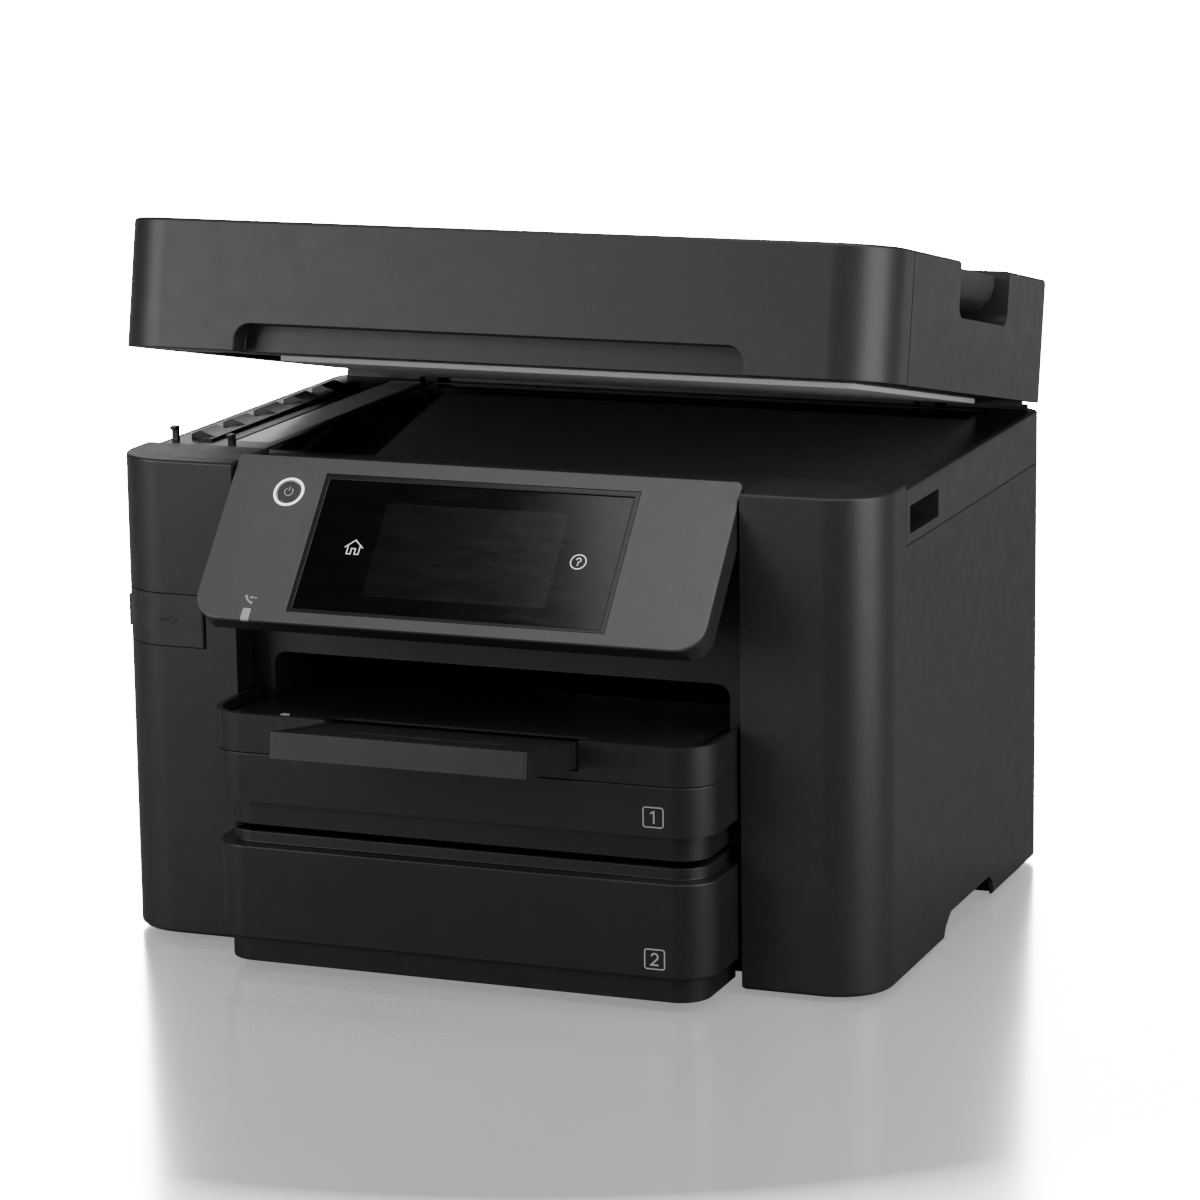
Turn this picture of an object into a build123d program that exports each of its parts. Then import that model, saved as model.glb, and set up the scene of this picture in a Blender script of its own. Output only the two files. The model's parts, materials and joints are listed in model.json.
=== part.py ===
from build123d import *
import math
import os

os.makedirs("parts", exist_ok=True)

# All-in-one inkjet printer with two paper cassettes, a flatbed scanner and a document feeder.
# Millimetres. X to the viewer's right, Y to the back, Z up. The origin is on the table,
# under the middle of the printer with its output tray pulled out.

# ---- driving dimensions ----
HALF_W = 212.5            # half of the overall width
FRONT = -110.0            # front face of the two columns
DEPTH = 304.0             # front face to the rear edge of the side covers
REAR = FRONT + DEPTH
BACK = FRONT + 333.5      # rearmost face, the duplexer cover
WALL = 2.5                # moulded wall thickness
BASE = 3.0                # lower edge of the housing, above the feet
SEAM = 228.5              # joint between housing and scanner unit
DECK = 257.6              # top of the scanner deck
COLUMN_TOP = 260.5        # top of the two front columns
COLUMN_X = 140.0          # inner edge of the columns
COLUMN_DEPTH = 47.0       # depth of the columns' raised part
CORNER = 30.0             # front corner radius in plan
REAR_CORNER = 14.0        # rear corner radius in plan
RECESS = FRONT + 20.0     # front of the recessed bay frame
BAY_X = 127.5             # half width of the output bay
BAY_TOP = 157.3           # upper edge of the output bay
CASSETTE_FRONT = FRONT - 45.0
CASSETTE_X = 138.0        # half width of the cassette fronts
TRAY_X = 125.0            # half width of the cassette bodies
LID_BOTTOM = 261.0        # lower edge of the closed document cover
LID_TOP = 329.0           # top of the closed document cover
LID_ANGLE = 11.2          # how far the document cover stands open
LID_AXIS = (FRONT + 300.0, 266.0)
PANEL_ANGLE = 41.5        # how far the control panel is tilted out
PANEL_AXIS = (FRONT + 12.0, 251.0)
PANEL_X = 138.8
PANEL_LOW = 161.5
PANEL_HIGH = 259.6
TRAY_SLOPE = 9.2          # rise of the output tray towards the front, degrees
TRAY_OUT = 69.5           # how far the output tray is pulled out
PIN_GAP = 0.06            # radial clearance of small running pins


def about_x(solid, axis, angle):
    """The solid turned about a line along X through (y, z)."""
    return solid.rotate(Axis((0, axis[0], axis[1]), (1, 0, 0)), angle)


def save(solid, node):
    """One STEP file per node, labelled with its name."""
    solid.label = node
    export_step(solid, "parts/" + node + ".step")


def slab(x0, x1, y0, y1, z0, z1, mode=Mode.ADD):
    """A plain box between two corners, for use inside a BuildPart block."""
    with Locations(((x0 + x1) / 2, (y0 + y1) / 2, (z0 + z1) / 2)):
        Box(x1 - x0, y1 - y0, z1 - z0, mode=mode)


def bar(x, y, z, radius, length, turn, mode=Mode.ADD):
    """A cylinder centred on a point, its axis turned from Z."""
    with Locations(Location((x, y, z), turn)):
        Cylinder(radius, length, mode=mode)


ALONG_X = (0, 90, 0)
ALONG_Y = (90, 0, 0)
ALONG_Z = (0, 0, 0)


def side_outline(inset, low, height, mode):
    """Plan of one side of the housing, its front and rear corners rounded."""
    with BuildSketch(Plane.XY.offset(low)) as plan:
        with BuildLine():
            Polyline(
                (COLUMN_X + inset, FRONT + inset),
                (HALF_W - inset, FRONT + inset),
                (HALF_W - inset, REAR - inset),
                (COLUMN_X + inset, REAR - inset),
                close=True,
            )
        make_face()
        outer = plan.vertices().group_by(Axis.X)[-1].sort_by(Axis.Y)
        fillet(outer[0], CORNER - inset)
        outer = plan.vertices().group_by(Axis.Y)[-1].sort_by(Axis.X)
        fillet(outer[-1], REAR_CORNER - inset)
    extrude(plan.sketch, amount=height, mode=mode)


# ---- right side of the housing: front column, corner, side and rear corner in one moulding ----
with BuildPart() as right_housing:
    side_outline(0, BASE, COLUMN_TOP - BASE, Mode.ADD)
    fillet(right_housing.faces().sort_by(Axis.Z)[-1].edges(), 1.6)
    chamfer(right_housing.faces().sort_by(Axis.Z)[0].edges(), 1.4)
    side_outline(WALL, BASE - 5, COLUMN_TOP - WALL - BASE + 5, Mode.SUBTRACT)
    # everything above the seam behind the column belongs to the scanner unit
    slab(COLUMN_X - 5, HALF_W + 5, FRONT + COLUMN_DEPTH, REAR + 5, SEAM, COLUMN_TOP + 5, Mode.SUBTRACT)
    # rear wall of the raised part of the column
    slab(COLUMN_X + 1, HALF_W - 1, FRONT + COLUMN_DEPTH - WALL, FRONT + COLUMN_DEPTH, SEAM - 6, COLUMN_TOP - 1)
    # the inner wall ends a little behind the bay frame
    slab(COLUMN_X - 1, COLUMN_X + WALL + 0.5, FRONT + 60, REAR - WALL, BASE - 1, SEAM + 1, Mode.SUBTRACT)
    # the rear corner is lowered so that the scanner unit can tip back
    slab(COLUMN_X - 1, HALF_W + 1, REAR - 5, REAR + 1, 226.6, SEAM + 1, Mode.SUBTRACT)
    # the duplexer cover reaches round to the side
    slab(COLUMN_X - 1, HALF_W + 1, REAR - 6, REAR + 1, 64.6, 199.4, Mode.SUBTRACT)
    # hand-hold in the lower edge
    with BuildSketch(Plane.YZ.offset(HALF_W - 8)):
        with BuildLine():
            Polyline(
                (FRONT + 115, BASE - 4),
                (FRONT + 119, BASE + 6),
                (FRONT + 129, BASE + 12.5),
                (FRONT + 201, BASE + 12.5),
                (FRONT + 208, BASE + 8),
                (FRONT + 211, BASE - 4),
                close=True,
            )
        make_face()
    extrude(amount=16, mode=Mode.SUBTRACT)
save(right_housing.part, "right_housing")

# ---- left side of the housing: the mirror image, with the opening for the memory-stick door ----
DOOR_EDGE_X = -157.4
DOOR_LOW, DOOR_HIGH = 160.3, 189.2
DOOR_MID = (DOOR_LOW + DOOR_HIGH) / 2
DOOR_TALL = DOOR_HIGH - DOOR_LOW
DOOR_BACK = FRONT + 22
DOOR_PIVOT = (-160.0, FRONT + WALL / 2)
with BuildPart() as left_housing:
    add(mirror(right_housing.part, about=Plane.YZ))
    slab(-HALF_W - 1, DOOR_EDGE_X, FRONT - 1, DOOR_BACK, DOOR_LOW, DOOR_HIGH, Mode.SUBTRACT)
    # bores for the door's two hinge pins
    bar(DOOR_PIVOT[0], DOOR_PIVOT[1], DOOR_MID, 0.7 + PIN_GAP, DOOR_TALL + 5, ALONG_Z, Mode.SUBTRACT)
save(left_housing.part, "left_housing")

# ---- memory-stick door: wraps round the front corner, hinged on its right edge ----
with BuildPart() as usb_door:
    side_outline(0, DOOR_LOW + 0.5, DOOR_TALL - 1, Mode.ADD)
    side_outline(WALL, DOOR_LOW, DOOR_TALL, Mode.SUBTRACT)
    slab(COLUMN_X - 1, HALF_W + 1, DOOR_BACK - 0.5, REAR + 1, DOOR_LOW, DOOR_HIGH, Mode.SUBTRACT)
    slab(COLUMN_X - 1, -DOOR_PIVOT[0], FRONT - 1, REAR, DOOR_LOW, DOOR_HIGH, Mode.SUBTRACT)
    # rounded hinge edge with a pin at each end
    bar(-DOOR_PIVOT[0], DOOR_PIVOT[1], DOOR_MID, WALL / 2, DOOR_TALL - 1, ALONG_Z)
    bar(-DOOR_PIVOT[0], DOOR_PIVOT[1], DOOR_MID, 0.7, DOOR_TALL + 4, ALONG_Z)
    # finger ledge inside the left edge
    slab(HALF_W - 6, HALF_W - 1.2, DOOR_BACK - 4, DOOR_BACK - 1.5, DOOR_LOW + 6, DOOR_HIGH - 6)
save(mirror(usb_door.part, about=Plane.YZ), "usb_door")

# ---- memory-stick socket behind the door, with its bezel plate ----
with BuildPart() as usb_host_port:
    slab(-200, -152, FRONT + 9, FRONT + 11, 155, 195)
    slab(-190, -172, FRONT + 11, FRONT + 27, 169, 180)
    slab(-188, -174, FRONT + 6, FRONT + 12, 170.5, 178.5)
    slab(-187.2, -174.8, FRONT + 5, FRONT + 24, 172.2, 177.2, Mode.SUBTRACT)
    slab(-185.4, -176.6, FRONT + 9, FRONT + 24.5, 174.9, 176.3)
save(usb_host_port.part, "usb_host_port")

# ---- bay frame: recessed portal round the output bay, with a hood leading inwards ----
EAR_X = 102.0
BRIDGE_BACK = FRONT + COLUMN_DEPTH - 0.4
with BuildPart() as front_frame:
    with BuildSketch(Plane.XZ.offset(-(RECESS + WALL))) as portal:
        with Locations((0, (6 + DECK) / 2)):
            Rectangle(2 * (COLUMN_X - 0.4), DECK - 6)
        with Locations((0, (0 + BAY_TOP) / 2)):
            Rectangle(2 * BAY_X, BAY_TOP, mode=Mode.SUBTRACT)
        fillet(portal.vertices().group_by(Axis.Y)[-2], 7)
    extrude(amount=WALL)
    for s in (-1, 1):
        slab(min(s * BAY_X, s * (BAY_X + 2)), max(s * BAY_X, s * (BAY_X + 2)), RECESS + WALL - 0.5, FRONT + 93, 6, BAY_TOP + 1)
        slab(s * EAR_X - 2.2, s * EAR_X + 2.2, PANEL_AXIS[0], RECESS + 1, PANEL_AXIS[1] - 4, PANEL_AXIS[1] + 4)
        bar(s * EAR_X, PANEL_AXIS[0], PANEL_AXIS[1], 4, 4.4, ALONG_X)
        bar(s * EAR_X, PANEL_AXIS[0], PANEL_AXIS[1], 2.0 + PIN_GAP, 10, ALONG_X, Mode.SUBTRACT)
    # hood over the bay with a row of stiffening ribs
    slab(-BAY_X - 2, BAY_X + 2, RECESS + WALL - 0.5, FRONT + 93, BAY_TOP + 0.4, BAY_TOP + 2.4)
    for i in range(9):
        x = -112 + 28 * i
        slab(x - 1, x + 1, RECESS + WALL - 0.5, FRONT + 80, BAY_TOP + 2, BAY_TOP + 9)
    # bridge between the columns in front of the scanner unit
    slab(-COLUMN_X + 0.4, COLUMN_X - 0.4, RECESS + 1, BRIDGE_BACK, DECK - WALL, DECK)
    slab(-COLUMN_X + 0.4, COLUMN_X - 0.4, BRIDGE_BACK - WALL, BRIDGE_BACK, 214, DECK - 1)
    for i in range(7):
        x = -126 + 42 * i
        slab(x - 1, x + 1, RECESS + 1, BRIDGE_BACK - 1, 236, DECK - 2)
save(front_frame.part, "front_frame")

# ---- base pan: floor with a rim, raised over the two hand-holds ----
with BuildPart() as base_pan:
    with BuildSketch(Plane.XY.offset(BASE + 0.4)) as plan:
        with BuildLine():
            Polyline(
                (-HALF_W + 2.9, REAR - 2.9),
                (-HALF_W + 2.9, FRONT + 2.9),
                (-COLUMN_X - 2.9, FRONT + 2.9),
                (-COLUMN_X - 2.9, FRONT + 60.6),
                (COLUMN_X + 2.9, FRONT + 60.6),
                (COLUMN_X + 2.9, FRONT + 2.9),
                (HALF_W - 2.9, FRONT + 2.9),
                (HALF_W - 2.9, REAR - 2.9),
                close=True,
            )
        make_face()
        fillet(plan.vertices().filter_by(lambda v: abs(v.X) > 200 and v.Y < 0), CORNER - 2.9)
        fillet(plan.vertices().filter_by(lambda v: abs(v.X) > 200 and v.Y > 0), REAR_CORNER - 2.9)
    extrude(amount=2.4)
    for s in (-1, 1):
        # side rims
        slab(min(s * 207, s * 209.5), max(s * 207, s * 209.5), FRONT + 34, REAR - 18, BASE + 0.4, BASE + 16)
        slab(s * 201 - 9, s * 201 + 9, FRONT + 110, FRONT + 216, BASE + 0.4, BASE + 18, Mode.SUBTRACT)
        # hand pocket: a roof and an inner wall
        slab(s * 199 - 10.4, s * 199 + 10.4, FRONT + 110, FRONT + 216, BASE + 15.6, BASE + 18)
        slab(s * 190 - 1.5, s * 190 + 1.5, FRONT + 110, FRONT + 216, BASE + 0.4, BASE + 18)
        # ends of the pocket
        for y in (FRONT + 110, FRONT + 213.6):
            slab(s * 199 - 10.4, s * 199 + 10.4, y, y + 2.4, BASE + 0.4, BASE + 18)
        # rails that carry the lower cassette
        slab(s * 132.4 - 2.2, s * 132.4 + 2.2, FRONT + 62, REAR - 30, BASE + 1, BASE + 4)
save(base_pan.part, "base_pan")

# ---- four rubber feet ----
with BuildPart() as rubber_feet:
    for x in (-178, 178):
        for y in (FRONT + 30, FRONT + 232):
            with Locations((x, y, (BASE + 0.4) / 2)):
                Box(26, 14, BASE + 0.4)
    fillet(rubber_feet.edges().filter_by(Axis.Z), 4)
save(rubber_feet.part, "rubber_feet")

# ---- rear panel between the rear corners, open behind the duplexer cover ----
LUG_X = 96.0
SCAN_AXIS = (REAR - 2.5, 230.2)
INLET = (-114.0, 31.0)
with BuildPart() as rear_panel:
    slab(-COLUMN_X + 0.4, COLUMN_X - 0.4, REAR - WALL, REAR, BASE + 3.2, 226.6)
    slab(-COLUMN_X, COLUMN_X, REAR - 4, REAR + 1, 64.6, 199.4, Mode.SUBTRACT)
    slab(INLET[0] - 13.4, INLET[0] + 13.4, REAR - 4, REAR + 1, INLET[1] - 10.4, INLET[1] + 10.4, Mode.SUBTRACT)
    for x, w, h in ((-72, 13, 12), (-48, 17, 14), (-22, 14, 13), (-4, 14, 13)):
        slab(x - w / 2, x + w / 2, REAR - 4, REAR + 1, 31 - h / 2, 31 + h / 2, Mode.SUBTRACT)
    for i in range(10):
        slab(60 + 6 * i, 62.4 + 6 * i, REAR - 4, REAR + 1, 20, 48, Mode.SUBTRACT)
    # lugs that carry the scanner unit's pins
    for s in (-1, 1):
        slab(s * LUG_X - 4, s * LUG_X + 4, REAR - WALL - 3.2, REAR - WALL + 0.5, 212, 226.6)
        slab(s * LUG_X - 4, s * LUG_X + 4, SCAN_AXIS[0] - 2.2, SCAN_AXIS[0] + 2.2, 222, SCAN_AXIS[1])
        bar(s * LUG_X, SCAN_AXIS[0], SCAN_AXIS[1], 2.2, 8, ALONG_X)
        bar(s * LUG_X, SCAN_AXIS[0], SCAN_AXIS[1], 1.2 + PIN_GAP, 12, ALONG_X, Mode.SUBTRACT)
    # joins the strip above the duplexer cover to the lower part
    for s in (-1, 1):
        slab(s * 131 - 8.5, s * 131 + 8.5, REAR - 9, REAR - 6.6, 46, 215)
        slab(s * 131 - 8.5, s * 131 + 8.5, REAR - 8, REAR - 1, 52, 60)
        slab(s * 131 - 8.5, s * 131 + 8.5, REAR - 8, REAR - 1, 204, 212)
save(rear_panel.part, "rear_panel")

# ---- duplexer cover on the back: pulls straight off ----
with BuildPart() as rear_cover:
    with BuildSketch(Plane.XY.offset(65.1)) as plan:
        with BuildLine():
            Polyline(
                (-209.4, REAR - 5.6),
                (209.4, REAR - 5.6),
                (205.5, REAR - 1),
                (196, REAR + 1.5),
                (158, REAR + 3.5),
                (138, BACK - 5),
                (120, BACK),
                (-120, BACK),
                (-138, BACK - 5),
                (-158, REAR + 3.5),
                (-196, REAR + 1.5),
                (-205.5, REAR - 1),
                close=True,
            )
        make_face()
    extrude(amount=133.8)
    fillet(rear_cover.faces().sort_by(Axis.Y)[-1].edges().filter_by(Axis.X), 6)
    with BuildSketch(Plane.XY.offset(67.6)) as inner:
        with BuildLine():
            Polyline(
                (-206.4, REAR - 8),
                (206.4, REAR - 8),
                (203.6, REAR - 2.4),
                (195.6, REAR - 1),
                (156.2, REAR + 0.8),
                (136, BACK - 7.4),
                (119.2, BACK - 2.6),
                (-119.2, BACK - 2.6),
                (-136, BACK - 7.4),
                (-156.2, REAR + 0.8),
                (-195.6, REAR - 1),
                (-203.6, REAR - 2.4),
                close=True,
            )
        make_face()
    extrude(amount=128.8, mode=Mode.SUBTRACT)
    # grip notches and the row of paper ribs inside
    for s in (-1, 1):
        slab(s * 100 - 16, s * 100 + 16, BACK - 12, BACK + 1, 126, 140, Mode.SUBTRACT)
        slab(s * 100 - 18, s * 100 + 18, BACK - 13, BACK - 10.6, 122, 144)
        slab(s * 100 - 18, s * 100 + 18, BACK - 12, BACK - 2, 122, 125)
        slab(s * 100 - 18, s * 100 + 18, BACK - 12, BACK - 2, 141, 144)
        slab(s * 117 - 1.2, s * 117 + 1.2, BACK - 12, BACK - 2, 122, 144)
        slab(s * 83 - 1.2, s * 83 + 1.2, BACK - 12, BACK - 2, 122, 144)
    for i in range(9):
        x = -64 + 16 * i
        slab(x - 1, x + 1, REAR + 6, BACK - 2, 80, 184)
save(rear_cover.part, "rear_cover")

# ---- steel chassis: back plate with two end plates that carry the rollers ----
FEED = (FRONT + 178.0, 150.0)
EJECT = (FRONT + 112.0, 149.0)
PICKUP = (FRONT + 232.0, 117.0)
END_X = 196.0
PULLEY_X = 184.0
BELT = (FRONT + 199.0, 196.0)
with BuildPart() as steel_chassis:
    slab(-END_X, END_X, FRONT + 207, FRONT + 208.5, 128, 220)
    for s in (-1, 1):
        slab(min(s * END_X, s * (END_X + 1.5)), max(s * END_X, s * (END_X + 1.5)), FRONT + 100, FRONT + 208.5, 108, 220)
        slab(min(s * END_X, s * (END_X + 1.5)), max(s * END_X, s * (END_X + 1.5)), FRONT + 200, FRONT + 246, 104, 160)
        # feet of the end plates
        slab(s * 195 - 2.5, s * 195 + 2.5, FRONT + 102, FRONT + 107, BASE + 3, 110)
        slab(s * 195 - 2.5, s * 195 + 2.5, FRONT + 224, FRONT + 229, BASE + 3, 110)
    for centre, r in ((FEED, 3.0), (EJECT, 2.5), (PICKUP, 2.5)):
        bar(0, centre[0], centre[1], r + PIN_GAP, 420, ALONG_X, Mode.SUBTRACT)
    bar(PULLEY_X, FRONT + 207.7, BELT[1], 5, 6, ALONG_Y, Mode.SUBTRACT)
    # fixed pin of the idler pulley
    bar(-PULLEY_X, FRONT + 201, BELT[1], 1.5, 14, ALONG_Y)
    for i in range(6):
        slab(-150 + 56 * i, -126 + 56 * i, FRONT + 206, FRONT + 210, 160, 176, Mode.SUBTRACT)
    # folded guide rail of the print carriage
    slab(-END_X, END_X, FRONT + 178, FRONT + 207.5, 212, 213.5)
    slab(-END_X, END_X, FRONT + 178, FRONT + 179.5, 205, 213.5)
save(steel_chassis.part, "steel_chassis")

# ---- carriage drive: motor, toothed pulley, idler and belt ----
PULLEY_R = 6.0
with BuildPart() as carriage_motor:
    bar(PULLEY_X, FRONT + 221.6, BELT[1], 13, 26, ALONG_Y)
    bar(PULLEY_X, FRONT + 203.5, BELT[1], 1.5, 12, ALONG_Y)
    bar(PULLEY_X, FRONT + 235.6, BELT[1], 4, 3, ALONG_Y)
save(carriage_motor.part, "carriage_motor")

with BuildPart() as drive_pulley:
    bar(PULLEY_X, BELT[0], BELT[1], PULLEY_R, 5, ALONG_Y)
    for i in range(16):
        a = math.radians(22.5 * i)
        bar(PULLEY_X + PULLEY_R * math.cos(a), BELT[0], BELT[1] + PULLEY_R * math.sin(a), 0.5, 6, ALONG_Y, Mode.SUBTRACT)
    bar(PULLEY_X, BELT[0], BELT[1], 1.5 + 0.05, 12, ALONG_Y, Mode.SUBTRACT)
save(drive_pulley.part, "drive_pulley")

with BuildPart() as idler_pulley:
    bar(-PULLEY_X, BELT[0], BELT[1], PULLEY_R, 5, ALONG_Y)
    bar(-PULLEY_X, BELT[0], BELT[1], 1.5 + 0.05, 12, ALONG_Y, Mode.SUBTRACT)
save(idler_pulley.part, "idler_pulley")

with BuildPart() as carriage_belt:
    with BuildSketch(Plane.XZ.offset(-(BELT[0] + 2))) as loop:
        with Locations((0, BELT[1])):
            SlotCenterToCenter(2 * PULLEY_X, 2 * (PULLEY_R + 1.3))
            SlotCenterToCenter(2 * PULLEY_X, 2 * (PULLEY_R + 0.35), mode=Mode.SUBTRACT)
    extrude(amount=4)
save(carriage_belt.part, "carriage_belt")

# ---- print carriage at its home position on the right, with cartridges and print head ----
HOME_X = 144.0
HALF_C = 46.0
with BuildPart() as print_carriage:
    slab(HOME_X - HALF_C, HOME_X + HALF_C, FRONT + 104, FRONT + 172, 162, 208)
    slab(HOME_X - HALF_C + 3, HOME_X + HALF_C - 3, FRONT + 107, FRONT + 166, 172, 212, Mode.SUBTRACT)
    # low front wall so the cartridges can be reached
    slab(HOME_X - HALF_C + 6, HOME_X + HALF_C - 6, FRONT + 102, FRONT + 108, 192, 212, Mode.SUBTRACT)
    # arm over the guide rail and foot behind its front lip
    slab(HOME_X - HALF_C + 4, HOME_X + HALF_C - 4, FRONT + 164, FRONT + 190, 214, 217)
    slab(HOME_X - HALF_C + 4, HOME_X + HALF_C - 4, FRONT + 164, FRONT + 172, 205, 217)
    # arm under the rail that grips the belt
    slab(HOME_X - 16, HOME_X + 16, FRONT + 170, FRONT + 202, 184.6, 187.6)
    # print head on the underside
    slab(HOME_X - 30, HOME_X + 30, FRONT + 116, FRONT + 160, 158.6, 163)
    slab(HOME_X - 24, HOME_X + 24, FRONT + 122, FRONT + 154, 157.8, 159)
save(print_carriage.part, "print_carriage")

with BuildPart() as ink_cartridges:
    for i in range(4):
        x = HOME_X - 31.5 + 21 * i
        slab(x - 9.6, x + 9.6, FRONT + 108.5, FRONT + 163.4, 172.4, 211)
    fillet(ink_cartridges.edges().filter_by(Axis.X), 2)
    for i in range(4):
        x = HOME_X - 31.5 + 21 * i
        slab(x - 5, x + 5, FRONT + 106, FRONT + 112, 198, 204)
save(ink_cartridges.part, "ink_cartridges")

# ---- platen under the print head: a plate with rows of short ribs ----
with BuildPart() as platen:
    slab(-116, 104, FRONT + 122, FRONT + 168, 146, 151)
    for i in range(15):
        x = -110 + 15 * i
        slab(x - 1, x + 1, FRONT + 124, FRONT + 140, 151, 153.6)
        slab(x - 1, x + 1, FRONT + 146, FRONT + 166, 151, 153.6)
    for s in (-100, 90):
        slab(s - 3, s + 3, FRONT + 130, FRONT + 160, 128, 146)
    # ties to the chassis back plate, under the feed roller
    for x in (-106, 96):
        slab(x - 4, x + 4, FRONT + 150, FRONT + 206.8, 129, 134)
save(platen.part, "platen")

# ---- paper feed roller and eject roller, each one shaft with rubber sleeves ----
with BuildPart() as feed_roller:
    bar(0, FEED[0], FEED[1], 3.0, 2 * END_X + 5, ALONG_X)
    bar(0, FEED[0], FEED[1], 5.5, 2 * END_X - 8, ALONG_X)
    for i in range(5):
        bar(-92 + 46 * i, FEED[0], FEED[1], 6.8, 30, ALONG_X)
    bar(-END_X + 8, FEED[0], FEED[1], 13, 5, ALONG_X)
save(feed_roller.part, "feed_roller")

with BuildPart() as eject_roller:
    bar(0, EJECT[0], EJECT[1], 2.5, 2 * END_X + 5, ALONG_X)
    for i in range(8):
        bar(-105 + 30 * i, EJECT[0], EJECT[1], 6.0, 10, ALONG_X)
    bar(-END_X + 8, EJECT[0], EJECT[1], 11, 5, ALONG_X)
save(eject_roller.part, "eject_roller")

# ---- guide over the eject roller: a beam under the bay hood with star wheels and hanging fingers ----
with BuildPart() as eject_guide:
    slab(-124, 95, FRONT + 84, FRONT + 101, BAY_TOP + 2.6, BAY_TOP + 5.1)
    slab(-124, 95, FRONT + 97, FRONT + 101, 149, BAY_TOP + 3)
    for i in range(8):
        x = -112 + 28 * i
        slab(x - 1.5, x + 1.5, FRONT + 93.4, FRONT + 98, 145, BAY_TOP)
        slab(x - 5, x + 5, FRONT + 95, FRONT + 98, 153, BAY_TOP)
        bar(x + 10, FRONT + 99, 156.5, 3.6, 8, ALONG_X)
save(eject_guide.part, "eject_guide")

# ---- pick-up roller of the upper cassette ----
with BuildPart() as pickup_roller:
    bar(0, PICKUP[0], PICKUP[1], 2.5, 2 * END_X + 5, ALONG_X)
    for x in (-22, 22):
        bar(x, PICKUP[0], PICKUP[1], 10, 16, ALONG_X)
    bar(-END_X + 8, PICKUP[0], PICKUP[1], 9, 5, ALONG_X)
save(pickup_roller.part, "pickup_roller")

# ---- cleaning station with its cap, under the carriage's home position ----
with BuildPart() as maintenance_station:
    slab(110, 188, FRONT + 118, FRONT + 166, 118, 150)
    slab(114, 176, FRONT + 122, FRONT + 160, 146, 152, Mode.SUBTRACT)
    slab(116, 168, FRONT + 124, FRONT + 158, 145, 155)
    slab(118.5, 165.5, FRONT + 126.5, FRONT + 155.5, 150, 156, Mode.SUBTRACT)
    slab(171, 173, FRONT + 126, FRONT + 156, 145, 156.5)
save(maintenance_station.part, "maintenance_station")

# ---- waste ink box, power supply and main board ----
with BuildPart() as waste_ink_box:
    slab(146, 186, FRONT + 236, REAR - 12, BASE + 3.2, 62)
    fillet(waste_ink_box.edges().filter_by(Axis.Z), 4)
    slab(160, 172, REAR - 14, REAR - 8, 30, 44)
save(waste_ink_box.part, "waste_ink_box")

with BuildPart() as power_supply:
    slab(-186, -146, FRONT + 112, FRONT + 214, BASE + 3.2, 66)
    for i in range(12):
        slab(-188, -184.5, FRONT + 118 + 8 * i, FRONT + 121 + 8 * i, 16, 56, Mode.SUBTRACT)
save(power_supply.part, "power_supply")

with BuildPart() as main_board:
    slab(-206.6, -205, FRONT + 80, REAR - 24, 78, 204)
    slab(-205, -201, FRONT + 120, FRONT + 150, 120, 150)
    slab(-205, -202, FRONT + 166, FRONT + 186, 130, 146)
    for i in range(5):
        slab(-205, -199.5, FRONT + 92 + 34 * i, FRONT + 108 + 34 * i, 84, 92)
    for i in range(4):
        bar(-202.8, FRONT + 110 + 22 * i, 182, 4, 4.6, ALONG_X)
save(main_board.part, "main_board")

# ---- mains inlet and signal sockets in the rear panel ----
with BuildPart() as ac_inlet:
    slab(INLET[0] - 13, INLET[0] + 13, REAR - 20, REAR - 0.4, INLET[1] - 10, INLET[1] + 10)
    with BuildSketch(Plane.XZ.offset(-(REAR - 15))) as mouth:
        with Locations(INLET):
            SlotOverall(21, 12.5)
    extrude(amount=-20, mode=Mode.SUBTRACT)
    for dx in (-4.2, 4.2):
        bar(INLET[0] + dx, REAR - 9.5, INLET[1], 1.2, 13, ALONG_Y)
save(ac_inlet.part, "ac_inlet")

with BuildPart() as interface_ports:
    for x, w, h, m in ((-72, 12.6, 11.6, 8.4), (-48, 16.6, 13.6, 12.0), (-22, 13.6, 12.6, 9.6), (-4, 13.6, 12.6, 9.6)):
        slab(x - w / 2, x + w / 2, REAR - 18, REAR - 0.3, 31 - h / 2, 31 + h / 2)
        slab(x - m / 2, x + m / 2, REAR - 14, REAR + 1, 31 - h / 2 + 2, 31 + h / 2 - 2, Mode.SUBTRACT)
save(interface_ports.part, "interface_ports")


# ---- paper cassettes ----
def cassette_ring(half, front, low, high, radius, wall, mode=Mode.ADD):
    """U-shaped wall of a cassette front, open to the rear."""
    rear = FRONT + 15
    for inset, how in ((0, mode), (wall, Mode.SUBTRACT)):
        with BuildSketch(Plane.XY.offset(low)) as plan:
            with BuildLine():
                Polyline(
                    (-half + inset, rear + inset),
                    (-half + inset, front + inset),
                    (half - inset, front + inset),
                    (half - inset, rear + inset),
                    close=True,
                )
            make_face()
            fillet(plan.vertices().group_by(Axis.Y)[0], radius - inset)
        extrude(plan.sketch, amount=high - low, mode=how)


def cassette_tray(low, high):
    """Open-topped paper tray behind a cassette front."""
    slab(-TRAY_X, TRAY_X, FRONT - 33, FRONT + 262, low, high)
    slab(-TRAY_X + 2, TRAY_X - 2, FRONT - 31, FRONT + 260, low + 2, high + 5, Mode.SUBTRACT)
    # slots of the edge guides
    for y in (FRONT + 70, FRONT + 150):
        slab(-100, 100, y - 2, y + 2, low - 1, low + 3, Mode.SUBTRACT)


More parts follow.
